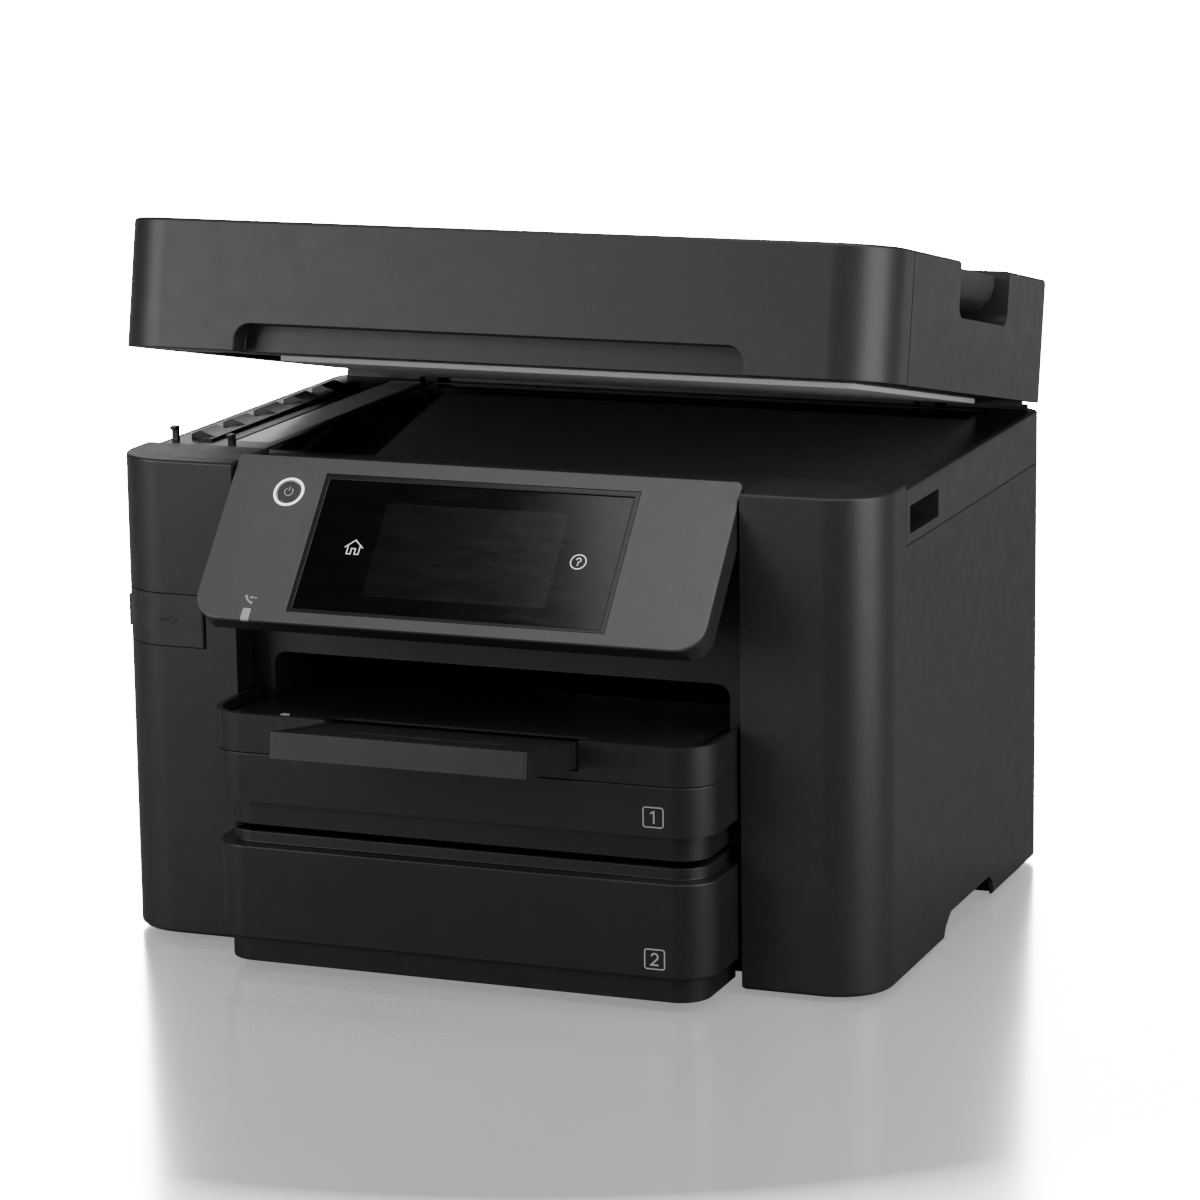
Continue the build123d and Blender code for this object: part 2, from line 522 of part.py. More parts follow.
def edge_guide(side, low, high):
    """Paper edge guide: upright wall, foot and two slot blocks."""
    x = side * 106.5
    slab(x - 1.2, x + 1.2, FRONT + 40, FRONT + 190, low + 2.3, high - 1)
    foot = sorted((x, side * 78.0))
    slab(foot[0], foot[1], FRONT + 60, FRONT + 160, low + 2.3, low + 4)
    for y in (FRONT + 70, FRONT + 150):
        slab(side * 88 - 6, side * 88 + 6, y - 1.6, y + 1.6, low + 0.4, low + 3)


with BuildPart() as cassette_1_tray:
    cassette_tray(80, 103.6)
save(cassette_1_tray.part, "cassette_1_tray")

with BuildPart() as cassette_1_front:
    with BuildSketch(Plane.XY.offset(92.4)) as ledge:
        with BuildLine():
            Polyline((-138, FRONT + 15), (-138, CASSETTE_FRONT), (138, CASSETTE_FRONT), (138, FRONT + 15), close=True)
        make_face()
        fillet(ledge.vertices().group_by(Axis.Y)[0], 20)
        with Locations((0, FRONT + 50)):
            Rectangle(2 * (TRAY_X + 0.3), 2 * 83.3, mode=Mode.SUBTRACT)
    extrude(amount=25.9)
    slab(-135, 135, FRONT + 4.5, FRONT + 20, 94.9, 120, Mode.SUBTRACT)
    with BuildSketch(Plane.XY.offset(94.9)) as hollow:
        with BuildLine():
            Polyline((-135, FRONT + 16), (-135, CASSETTE_FRONT + 3), (135, CASSETTE_FRONT + 3), (135, FRONT + 16), close=True)
        make_face()
        fillet(hollow.vertices().group_by(Axis.Y)[0], 17)
    extrude(amount=30, mode=Mode.SUBTRACT)
    with BuildSketch(Plane.XY.offset(78.3)) as lip:
        with BuildLine():
            Polyline((-132, FRONT + 15), (-132, FRONT - 37), (132, FRONT - 37), (132, FRONT + 15), close=True)
        make_face()
        fillet(lip.vertices().group_by(Axis.Y)[0], 16)
        with Locations((0, FRONT + 50)):
            Rectangle(2 * (TRAY_X + 0.3), 2 * 83.3, mode=Mode.SUBTRACT)
    extrude(amount=14.4)
    fillet(cassette_1_front.faces().filter_by(Plane.XY).sort_by(Axis.Z)[-1].outer_wire().edges().filter_by(lambda e: e.center().Y < FRONT - 30), 0.8)
save(cassette_1_front.part, "cassette_1_front")

TILT = math.radians(TRAY_SLOPE)
CHUTE_Z = 124.4           # underside of the retracted tray at the front wall of the cover


def sloped(y, lift):
    """Height of the tray's underside line at a given y, plus a lift."""
    return CHUTE_Z - (y - CASSETTE_FRONT) * math.tan(TILT) + lift


def floor_z(y):
    """Height of the bay floor, which falls from the cover's rim to the rear."""
    return 138.4 - 10.4 * (y - CASSETTE_FRONT - 1) / (FRONT + 91 - CASSETTE_FRONT)


with BuildPart() as cassette_1_cover:
    cassette_ring(CASSETTE_X, CASSETTE_FRONT, 118.7, 139, 20, 3)
    # floor on both sides of the tray channel, falling to the rear
    for s in (-1, 1):
        with BuildSketch(Plane.YZ.offset(s * 99 - 26)) as section:
            with BuildLine():
                Polyline(
                    (CASSETTE_FRONT + 1, floor_z(CASSETTE_FRONT + 1)),
                    (FRONT + 92, floor_z(FRONT + 92)),
                    (FRONT + 92, floor_z(FRONT + 92) - 2.4),
                    (CASSETTE_FRONT + 1, floor_z(CASSETTE_FRONT + 1) - 2.4),
                    close=True,
                )
            make_face()
        extrude(amount=52)
        slab(min(s * 124.6, s * 136), max(s * 124.6, s * 136), CASSETTE_FRONT + 14, FRONT + 14.5, 131, 133.4)
        slab(min(s * 124.6, s * 126.6), max(s * 124.6, s * 126.6), CASSETTE_FRONT + 14, FRONT + 14.5, 119, 133.4)
        # channel side wall
        with BuildSketch(Plane.YZ.offset(s * 72 - 1)) as wall:
            with BuildLine():
                Polyline(
                    (CASSETTE_FRONT + 1, floor_z(CASSETTE_FRONT + 1) - 0.2),
                    (FRONT + 62, floor_z(FRONT + 62) - 0.2),
                    (FRONT + 62, sloped(FRONT + 62, -2)),
                    (CASSETTE_FRONT + 1, sloped(CASSETTE_FRONT + 1, -2)),
                    close=True,
                )
            make_face()
        extrude(amount=2)
    # floor over the channel, clear of the tray's walls
    with BuildSketch(Plane.YZ.offset(-73.2)):
        with BuildLine():
            Polyline(
                (CASSETTE_FRONT + 13, floor_z(CASSETTE_FRONT + 13)),
                (FRONT + 92, floor_z(FRONT + 92)),
                (FRONT + 92, floor_z(FRONT + 92) - 2.4),
                (CASSETTE_FRONT + 30, floor_z(CASSETTE_FRONT + 30) - 2.4),
                (CASSETTE_FRONT + 13, floor_z(CASSETTE_FRONT + 13) - 1.2),
                close=True,
            )
        make_face()
    extrude(amount=146.4)
    # bottom of the channel
    with BuildSketch(Plane.YZ.offset(-73)):
        with BuildLine():
            Polyline(
                (CASSETTE_FRONT + 0.5, sloped(CASSETTE_FRONT + 0.5, -0.5)),
                (FRONT + 62, sloped(FRONT + 62, -0.5)),
                (FRONT + 62, sloped(FRONT + 62, -2)),
                (CASSETTE_FRONT + 0.5, sloped(CASSETTE_FRONT + 0.5, -2)),
                close=True,
            )
        make_face()
    extrude(amount=146)
    # notch in the front wall for the tray
    slab(-69.6, 69.6, CASSETTE_FRONT - 1, CASSETTE_FRONT + 3.6, 123.0, 140, Mode.SUBTRACT)
save(cassette_1_cover.part, "cassette_1_cover")

with BuildPart() as cassette_1_guide_left:
    edge_guide(-1, 80, 103.6)
save(cassette_1_guide_left.part, "cassette_1_guide_left")

with BuildPart() as cassette_1_guide_right:
    edge_guide(1, 80, 103.6)
save(cassette_1_guide_right.part, "cassette_1_guide_right")

with BuildPart() as cassette_2_tray:
    cassette_tray(8, 73)
save(cassette_2_tray.part, "cassette_2_tray")

with BuildPart() as cassette_2_front:
    with BuildSketch(Plane.XY.offset(18.7)) as face:
        with BuildLine():
            Polyline((-138, FRONT + 15), (-138, CASSETTE_FRONT), (138, CASSETTE_FRONT), (138, FRONT + 15), close=True)
        make_face()
        fillet(face.vertices().group_by(Axis.Y)[0], 20)
        with Locations((0, FRONT + 50)):
            Rectangle(2 * (TRAY_X + 0.3), 2 * 83.3, mode=Mode.SUBTRACT)
    extrude(amount=49.8)
    fillet(cassette_2_front.faces().sort_by(Axis.Y)[0].edges().filter_by(Axis.X), 1.0)
    with BuildSketch(Plane.XY.offset(68.4)) as lip:
        with BuildLine():
            Polyline((-132, FRONT + 15), (-132, FRONT - 37), (132, FRONT - 37), (132, FRONT + 15), close=True)
        make_face()
        fillet(lip.vertices().group_by(Axis.Y)[0], 16)
        with Locations((0, FRONT + 50)):
            Rectangle(2 * (TRAY_X + 0.3), 2 * 83.3, mode=Mode.SUBTRACT)
    extrude(amount=6.2)
    with BuildSketch(Plane.XY.offset(5.4)) as plinth:
        with BuildLine():
            Polyline((-132.6, FRONT + 12), (-132.6, FRONT - 41), (132.6, FRONT - 41), (132.6, FRONT + 12), close=True)
        make_face()
        fillet(plinth.vertices().group_by(Axis.Y)[0], 16)
        with Locations((0, FRONT + 50)):
            Rectangle(2 * (TRAY_X + 0.3), 2 * 83.3, mode=Mode.SUBTRACT)
    extrude(amount=13.4)
    # weight-saving pocket behind the face
    slab(-120, 120, FRONT - 41.5, FRONT - 33.2, 20.4, 66.6, Mode.SUBTRACT)
save(cassette_2_front.part, "cassette_2_front")

with BuildPart() as cassette_2_guide_left:
    edge_guide(-1, 8, 70)
save(cassette_2_guide_left.part, "cassette_2_guide_left")

with BuildPart() as cassette_2_guide_right:
    edge_guide(1, 8, 70)
save(cassette_2_guide_right.part, "cassette_2_guide_right")

# ---- output tray: a shallow tray with a front lip, sliding along its own slope ----
TRAY_FLOOR = 12.4         # height of the tray's floor over its underside
STOP_PIVOT = (9.5, 11.0)
with BuildPart() as output_tray_flat:
    # built level with the front lip at y = 0 and the underside at z = 0
    slab(-68.8, 68.8, 0, 96, TRAY_FLOOR - 2, TRAY_FLOOR)
    slab(-68.8, 68.8, 0, 3, 0, 13.4)
    for s in (-1, 1):
        slab(s * 67.6 - 1.2, s * 67.6 + 1.2, 0, 74, 0, 13.2)
    fillet(output_tray_flat.edges().filter_by(Axis.Z).filter_by(lambda e: e.center().Y < 0.5), 1.0)
    # pocket for the flip-up paper stop, with the bearings of its pins
    slab(-48, 48, 6, 39.6, 8.2, TRAY_FLOOR - 1)
    slab(-42, 42, 8, 38, 9.6, TRAY_FLOOR + 1, Mode.SUBTRACT)
    bar(0, STOP_PIVOT[0], STOP_PIVOT[1], 1.0 + PIN_GAP, 92, ALONG_X, Mode.SUBTRACT)
slide = Location((0, CASSETTE_FRONT - TRAY_OUT * math.cos(TILT), CHUTE_Z + TRAY_OUT * math.sin(TILT)))
level = Location((0, 0, 0), (-TRAY_SLOPE, 0, 0))
save(output_tray_flat.part.moved(slide * level), "output_tray")

with BuildPart() as paper_stop_flat:
    slab(-41.4, 41.4, 9.5, 37.4, 11.0, TRAY_FLOOR - 0.2)
    bar(0, STOP_PIVOT[0], STOP_PIVOT[1], 1.2, 82.8, ALONG_X)
    bar(0, STOP_PIVOT[0], STOP_PIVOT[1], 1.0, 91, ALONG_X)
    # notch for a fingertip
    slab(-9, 9, 33, 38, 10, 13, Mode.SUBTRACT)
save(paper_stop_flat.part.moved(slide * level), "paper_stop")


# ---- control panel, built upright and then tilted out about its upper edge ----
def panel_save(solid, node):
    save(about_x(solid, PANEL_AXIS, -PANEL_ANGLE), node)


POWER = (-105.0, 238.2)
with BuildPart() as panel_housing:
    with BuildSketch(Plane.YZ.offset(-PANEL_X)) as profile:
        with BuildLine():
            Polyline(
                (FRONT + 3, PANEL_LOW),
                (FRONT + 13, PANEL_LOW + 1),
                (FRONT + 16, PANEL_LOW + 5),
                (FRONT + 16, 236),
                (FRONT + 9, 254.5),
                (FRONT + 9, PANEL_HIGH),
                (FRONT + 3, PANEL_HIGH),
                close=True,
            )
        make_face()
    extrude(amount=2 * PANEL_X)
    with BuildSketch(Plane.XZ.offset(-(FRONT + 20))) as front_shape:
        with Locations((0, (PANEL_LOW + PANEL_HIGH) / 2)):
            Rectangle(2 * PANEL_X, PANEL_HIGH - PANEL_LOW)
        fillet(front_shape.vertices().group_by(Axis.Y)[0], 15)
        fillet(front_shape.vertices().group_by(Axis.Y)[-1], 3)
    extrude(amount=30, mode=Mode.INTERSECT)
    # hollow behind the fascia
    slab(-134, 134, FRONT + 2, FRONT + 13, PANEL_LOW + 14, 232, Mode.SUBTRACT)
    slab(-92, 92, FRONT + 2, FRONT + 6, 166, 252, Mode.SUBTRACT)
    bar(POWER[0], FRONT + 6, POWER[1], 8.6, 8, ALONG_Y, Mode.SUBTRACT)
    for s in (-1, 1):
        bar(s * EAR_X, PANEL_AXIS[0], PANEL_AXIS[1], 4, 16, ALONG_X)
        bar(s * EAR_X, PANEL_AXIS[0], PANEL_AXIS[1], 5, 5.4, ALONG_X, Mode.SUBTRACT)
        bar(s * EAR_X, PANEL_AXIS[0], PANEL_AXIS[1], 2.0, 8, ALONG_X)
panel_save(panel_housing.part, "panel_housing")

with BuildPart() as panel_fascia:
    with BuildSketch(Plane.XZ.offset(-(FRONT + 3))) as front_shape:
        with Locations((0, (PANEL_LOW + PANEL_HIGH) / 2)):
            Rectangle(2 * PANEL_X, PANEL_HIGH - PANEL_LOW)
        fillet(front_shape.vertices().group_by(Axis.Y)[0], 15)
        fillet(front_shape.vertices().group_by(Axis.Y)[-1], 3)
        with Locations((0, (168.0 + 250.5) / 2)):
            Rectangle(2 * 86.8, 82.5, mode=Mode.SUBTRACT)
        with Locations(POWER):
            Circle(8.5, mode=Mode.SUBTRACT)
        with Locations((-108.5, 165)):
            Rectangle(4.8, 8, mode=Mode.SUBTRACT)
    extrude(amount=2)
    fillet(panel_fascia.faces().sort_by(Axis.Y)[0].outer_wire().edges(), 0.7)
panel_save(panel_fascia.part, "panel_fascia")

with BuildPart() as screen_bezel:
    slab(-86.6, 86.6, FRONT + 1.2, FRONT + 5, 168.2, 250.3)
    slab(-84, 84, FRONT + 0, FRONT + 6, 170, 247.3, Mode.SUBTRACT)
panel_save(screen_bezel.part, "screen_bezel")

with BuildPart() as touch_screen:
    slab(-83.8, 83.8, FRONT + 1.8, FRONT + 3.2, 170.2, 247.1)
    slab(-80, 80, FRONT + 3.2, FRONT + 5.6, 174, 243)
panel_save(touch_screen.part, "touch_screen")

with BuildPart() as power_ring:
    bar(POWER[0], FRONT + 2.2, POWER[1], 8.4, 2.2, ALONG_Y)
    bar(POWER[0], FRONT + 2.2, POWER[1], 6.9, 4, ALONG_Y, Mode.SUBTRACT)
panel_save(power_ring.part, "power_ring")

with BuildPart() as power_button:
    bar(POWER[0], FRONT + 4, POWER[1], 6.5, 5.6, ALONG_Y)
    fillet(power_button.faces().sort_by(Axis.Y)[0].edges(), 0.6)
panel_save(power_button.part, "power_button")

with BuildPart() as fax_light:
    slab(-110.8, -106.2, FRONT + 1.05, FRONT + 3, 161.6, 168.6)
panel_save(fax_light.part, "fax_light")

# ---- scanner unit: lower housing with two hand grips ----
SCAN_FRONT = FRONT + COLUMN_DEPTH + 0.4
with BuildPart() as scanner_housing:
    with BuildSketch(Plane.XY.offset(SEAM + 0.5)) as plan:
        with Locations((0, (SCAN_FRONT + REAR) / 2)):
            Rectangle(2 * HALF_W, REAR - SCAN_FRONT)
        fillet(plan.vertices().group_by(Axis.Y)[-1], REAR_CORNER)
    extrude(amount=DECK - SEAM - 0.5)
    slab(-HALF_W + WALL, HALF_W - WALL, SCAN_FRONT + WALL, REAR - 7, SEAM + 3, DECK + 1, Mode.SUBTRACT)
    # ribs under the deck
    for i in range(6):
        slab(-HALF_W + 2, HALF_W - 2, SCAN_FRONT + 34 + 38 * i, SCAN_FRONT + 35.6 + 38 * i, SEAM + 2, SEAM + 5.4)
    for s in (-1, 1):
        # hand grip: a lined pocket open to the side
        slab(s * 200.5 - 11, s * 200.5 + 11, FRONT + 51, FRONT + 106.5, SEAM + 2, DECK - 6.6)
        slab(s * 204.5 - 12, s * 204.5 + 12, FRONT + 54, FRONT + 103.5, 234, 248.4, Mode.SUBTRACT)
        # clearance for the hinge lugs of the rear panel, and the pins
        slab(s * LUG_X - 4.4, s * LUG_X + 4.4, REAR - 9, REAR + 1, SEAM, 234.4, Mode.SUBTRACT)
        bar(s * LUG_X, SCAN_AXIS[0], SCAN_AXIS[1], 1.2, 12, ALONG_X)
    fillet(scanner_housing.edges().group_by(Axis.Z)[-1].filter_by(lambda e: abs(e.center().X) > HALF_W - 1), 1.0)
save(scanner_housing.part, "scanner_housing")

# ---- scanner deck with the pockets of the two glasses ----
GLASS = (-149.0, 183.0, FRONT + 59.0, FRONT + 287.0)
STRIP = (-176.0, -154.5, FRONT + 79.0, FRONT + 287.0)
with BuildPart() as scanner_deck:
    with BuildSketch(Plane.XY.offset(252.0)) as plan:
        with Locations((0, (SCAN_FRONT + 2.8 + REAR - 7.3) / 2)):
            Rectangle(2 * (HALF_W - WALL - 0.3), REAR - 7.3 - SCAN_FRONT - 2.8)
    extrude(amount=DECK - 252.0)
    for x0, x1, y0, y1 in (GLASS, STRIP):
        slab(x0, x1, y0, y1, 254.8, DECK + 1, Mode.SUBTRACT)
        slab(x0 + 3, x1 - 3, y0 + 3, y1 - 3, 250, DECK + 1, Mode.SUBTRACT)
    # guide ribs that lead documents over the narrow glass
    with BuildSketch(Plane.XY.offset(DECK - 1)):
        with Locations((-189, FRONT + 170)):
            Rectangle(7, 196)
    extrude(amount=2.6)
    for i in range(5):
        y = FRONT + 78 + 39 * i
        with BuildSketch(Plane.XZ.offset(-(y + 20))):
            with BuildLine():
                Polyline((-201, DECK - 1), (-201, DECK + 2.4), (-196, DECK + 4.6), (-184.5, DECK + 1), (-184.5, DECK - 1), close=True)
            make_face()
        extrude(amount=20)
    # rear sill, interrupted at the hinges
    for x0, x1 in ((-206, -159.5), (-140.5, 140.5), (159.5, 206)):
        slab(x0, x1, FRONT + 294, REAR - 7.3, DECK - 1, 260.6)
    # two small moulded catches near the front corner
    for x, y, h in ((-206.4, FRONT + 70, 8.2), (-172, FRONT + 68, 5.6)):
        slab(x - 1.8, x + 1.8, y - 1.5, y + 1.5, DECK - 1, DECK + h)
        slab(x - 1.8, x + 1.8, y - 4, y + 1.5, DECK + h - 2, DECK + h)
save(scanner_deck.part, "scanner_deck")

with BuildPart() as scanner_glass:
    slab(GLASS[0] + 0.2, GLASS[1] - 0.2, GLASS[2] + 0.2, GLASS[3] - 0.2, 254.8, 257.2)
save(scanner_glass.part, "scanner_glass")

with BuildPart() as feeder_glass:
    slab(STRIP[0] + 0.2, STRIP[1] - 0.2, STRIP[2] + 0.2, STRIP[3] - 0.2, 254.8, 257.2)
save(feeder_glass.part, "feeder_glass")

# ---- scanning bar and its guide rod ----
ROD = (FRONT + 176.0, 238.0)
with BuildPart() as scan_bar:
    slab(-173, -157, FRONT + 66, FRONT + 284, 243.2, 250)
    bar(-165, ROD[0], ROD[1], 5.6, 16, ALONG_X)
    slab(-173, -157, ROD[0] - 5.6, ROD[0] + 5.6, ROD[1], 244)
    bar(-165, ROD[0], ROD[1], 3.0 + PIN_GAP, 20, ALONG_X, Mode.SUBTRACT)
save(scan_bar.part, "scan_bar")

with BuildPart() as scan_rod:
    bar(0, ROD[0], ROD[1], 3.0, 2 * (HALF_W - WALL) - 0.4, ALONG_X)
save(scan_rod.part, "scan_rod")

# ---- lid hinge bases on the deck ----
HINGE_X = 150.0
with BuildPart() as hinge_bases:
    for s in (-1, 1):
        slab(s * HINGE_X - 4, s * HINGE_X + 4, FRONT + 289, FRONT + 296.4, DECK, 262)
        slab(s * HINGE_X - 4, s * HINGE_X + 4, LID_AXIS[0] - 4, LID_AXIS[0] + 3.4, DECK, LID_AXIS[1])
        bar(s * HINGE_X, LID_AXIS[0], LID_AXIS[1], 4, 8, ALONG_X)
        bar(s * HINGE_X, LID_AXIS[0], LID_AXIS[1], 2.5 + PIN_GAP, 12, ALONG_X, Mode.SUBTRACT)
save(hinge_bases.part, "hinge_bases")


# ---- document cover, built closed and then opened about its rear hinge ----
def lid_save(solid, node):
    save(about_x(solid, LID_AXIS, -LID_ANGLE), node)


LID_SPLIT = FRONT + 45.0
LID_REAR = FRONT + 307.0
VALLEY = (FRONT + 129.0, FRONT + 221.0, 299.4)
with BuildPart() as lid_front_cover:
    with BuildSketch(Plane.XY.offset(LID_BOTTOM)) as plan:
        with BuildLine():
            Polyline((-HALF_W, LID_SPLIT), (-HALF_W, FRONT + 2), (HALF_W, FRONT + 2), (HALF_W, LID_SPLIT), close=True)
        make_face()
        fillet(plan.vertices().group_by(Axis.Y)[0], CORNER)
    extrude(amount=LID_TOP - LID_BOTTOM)
    fillet(lid_front_cover.faces().sort_by(Axis.Z)[-1].edges().filter_by(lambda e: e.center().Y < LID_SPLIT - 1), 2.0)
    with BuildSketch(Plane.XY.offset(LID_BOTTOM - 1)) as plan:
        with BuildLine():
            Polyline(
                (-HALF_W + WALL, LID_SPLIT + 1),
                (-HALF_W + WALL, FRONT + 2 + WALL),
                (HALF_W - WALL, FRONT + 2 + WALL),
                (HALF_W - WALL, LID_SPLIT + 1),
                close=True,
            )
        make_face()
        fillet(plan.vertices().group_by(Axis.Y)[0], CORNER - WALL)
    extrude(amount=LID_TOP - LID_BOTTOM + 1 - WALL, mode=Mode.SUBTRACT)
    # finger recess along the lower front edge: a lined groove
    slab(-146, 146, FRONT + 3, FRONT + 19, LID_BOTTOM, LID_BOTTOM + 17.5)
    with BuildSketch(Plane.XZ.offset(-(FRONT + 16.5))) as groove:
        with Locations((0, LID_BOTTOM + 5)):
            Rectangle(280, 19)
        fillet(groove.vertices().group_by(Axis.Y)[-1], 9)
    extrude(amount=20, mode=Mode.SUBTRACT)
lid_save(lid_front_cover.part, "lid_front_cover")

with BuildPart() as lid_shell:
    with BuildSketch(Plane.XY.offset(LID_BOTTOM)) as plan:
        with Locations((0, (LID_SPLIT + 0.5 + LID_REAR) / 2)):
            Rectangle(2 * HALF_W, LID_REAR - LID_SPLIT - 0.5)
        fillet(plan.vertices().group_by(Axis.Y)[-1], REAR_CORNER)
    extrude(amount=LID_TOP - LID_BOTTOM)
    fillet(lid_shell.faces().sort_by(Axis.Z)[-1].edges().filter_by(lambda e: e.center().Y > LID_SPLIT + 1), 2.0)
    with BuildSketch(Plane.XY.offset(LID_BOTTOM - 1)) as plan:
        with Locations((0, (LID_SPLIT - 2 + LID_REAR - WALL) / 2)):
            Rectangle(2 * (HALF_W - WALL), LID_REAR - WALL - LID_SPLIT + 2)
        fillet(plan.vertices().group_by(Axis.Y)[-1], REAR_CORNER - WALL)
    extrude(amount=LID_TOP - LID_BOTTOM + 1 - WALL, mode=Mode.SUBTRACT)
    # valley that receives the fed documents, open through the right side
    slab(-62, HALF_W - 1, VALLEY[0] - 2.2, VALLEY[1] + 2.2, VALLEY[2] - 2.2, LID_TOP - 1)
    with BuildSketch(Plane.YZ.offset(-59.6)) as channel:
        with Locations(((VALLEY[0] + VALLEY[1]) / 2, (VALLEY[2] + 340) / 2)):
            Rectangle(VALLEY[1] - VALLEY[0], 340 - VALLEY[2])
        fillet(channel.vertices().group_by(Axis.Y)[0], 7)
    extrude(amount=280, mode=Mode.SUBTRACT)
    # slot where the documents come out of the feeder
    slab(-64, -58, FRONT + 137, FRONT + 211, 301.5, 309, Mode.SUBTRACT)
    # opening of the feeder under its cover
    slab(-207.2, -64.6, FRONT + 84.6, FRONT + 262.4, LID_TOP - WALL - 1, LID_TOP + 1, Mode.SUBTRACT)
    # rear lower edge, raised clear of the deck when the cover tips back
    slab(-HALF_W - 1, HALF_W + 1, LID_REAR - 3.4, LID_REAR + 1, LID_BOTTOM - 1, 264.6, Mode.SUBTRACT)
    for s in (-1, 1):
        slab(s * HINGE_X - 5, s * HINGE_X + 5, LID_REAR - 3.4, LID_REAR + 1, LID_BOTTOM - 1, 269, Mode.SUBTRACT)
    # bores for the feeder cover's pins
    for y in (FRONT + 82, FRONT + 265):
        bar(-204.7, y, 327.7, 0.8 + PIN_GAP, 7, ALONG_Y, Mode.SUBTRACT)
    # bearings of the document tray
    bar(-60, FRONT + 215.5, 322, 1.5 + PIN_GAP, 6, ALONG_X, Mode.SUBTRACT)
    slab(183, 187, FRONT + 211.5, FRONT + 219, VALLEY[2] - 0.5, 322)
    bar(185, FRONT + 215.5, 322, 3.0, 4, ALONG_X)
    bar(185, FRONT + 215.5, 322, 1.5 + PIN_GAP, 8, ALONG_X, Mode.SUBTRACT)
lid_save(lid_shell.part, "lid_shell")

# ---- underside plate of the document cover, with hinge lugs and pins ----
with BuildPart() as lid_base:
    with BuildSketch(Plane.XY.offset(LID_BOTTOM + 0.3)) as plan:
        with BuildLine():
            Polyline(
                (-HALF_W + 2.9, FRONT + 303),
                (-HALF_W + 2.9, FRONT + 20),
                (HALF_W - 2.9, FRONT + 20),
                (HALF_W - 2.9, FRONT + 303),
                close=True,
            )
        make_face()
        fillet(plan.vertices().group_by(Axis.Y)[0], 12)
        fillet(plan.vertices().group_by(Axis.Y)[-1], 9)
    extrude(amount=2.4)
    # window of the document feeder and clearance for the deck catches
    slab(-204, -152, FRONT + 74, FRONT + 291, LID_BOTTOM - 1, LID_BOTTOM + 4, Mode.SUBTRACT)
    slab(-213, -201.6, FRONT + 60, FRONT + 76, LID_BOTTOM - 1, LID_BOTTOM + 4, Mode.SUBTRACT)
    slab(-178, -166, FRONT + 60, FRONT + 75, LID_BOTTOM - 1, LID_BOTTOM + 4, Mode.SUBTRACT)
    # rib in front of the deck's rear sill
    slab(-204, 204, FRONT + 291.2, FRONT + 293.2, 258.4, LID_BOTTOM + 1)
    for s in (-1, 1):
        slab(s * HINGE_X - 4.6, s * HINGE_X + 4.6, FRONT + 286, FRONT + 306, 257, LID_BOTTOM + 4, Mode.SUBTRACT)
        for side in (-1, 1):
            x = s * HINGE_X + side * 6.8
            slab(x - 1.8, x + 1.8, LID_AXIS[0] - 8, LID_AXIS[0] + 3, LID_BOTTOM + 0.3, 270)
        bar(s * HINGE_X, LID_AXIS[0], LID_AXIS[1], 2.5, 14, ALONG_X)
lid_save(lid_base.part, "lid_base")

# ---- white pressing mat under the document cover ----
with BuildPart() as document_mat:
    slab(-140, 180, FRONT + 58, FRONT + 284, 258.4, LID_BOTTOM + 0.2)
    fillet(document_mat.edges().filter_by(Axis.Z), 4)
lid_save(document_mat.part, "document_mat")

# ---- document feeder: frame, roller, hinged cover and document tray ----
ROLLER = (-100.0, 312.0)
with BuildPart() as feeder_frame:
    slab(-196, -66, FRONT + 96, FRONT + 256, 266, 300)
    slab(-190, -72, FRONT + 100, FRONT + 252, 262, 296, Mode.SUBTRACT)
    for y in (FRONT + 130, FRONT + 218):
        slab(ROLLER[0] - 5, ROLLER[0] + 5, y - 2, y + 2, 298, ROLLER[1] + 5)
        bar(ROLLER[0], y, ROLLER[1], 2.5 + PIN_GAP, 8, ALONG_Y, Mode.SUBTRACT)
    for i in range(7):
        y = FRONT + 108 + 22 * i
        slab(-186, -124, y - 1, y + 1, 300, 306)
lid_save(feeder_frame.part, "feeder_frame")

with BuildPart() as feeder_roller:
    bar(ROLLER[0], FRONT + 174, ROLLER[1], 2.5, 94, ALONG_Y)
    for y in (FRONT + 158, FRONT + 190):
        bar(ROLLER[0], y, ROLLER[1], 9, 18, ALONG_Y)
lid_save(feeder_roller.part, "feeder_roller")

with BuildPart() as feeder_cover:
    slab(-206, -65.2, FRONT + 85.2, FRONT + 261.8, LID_TOP - 2.3, LID_TOP)
    fillet(feeder_cover.edges().filter_by(Axis.Z), 3)
    # pins at the left edge
    for y in (FRONT + 84, FRONT + 263):
        bar(-204.7, y, 327.7, 0.8, 5, ALONG_Y)
    # stiffening ribs and the pull-up edge
    for i in range(6):
        y = FRONT + 98 + 30 * i
        slab(-190, -128, y - 0.8, y + 0.8, LID_TOP - 6.3, LID_TOP - 2)
    slab(-68, -66, FRONT + 160, FRONT + 188, LID_TOP - 6, LID_TOP - 2)
lid_save(feeder_cover.part, "feeder_cover")

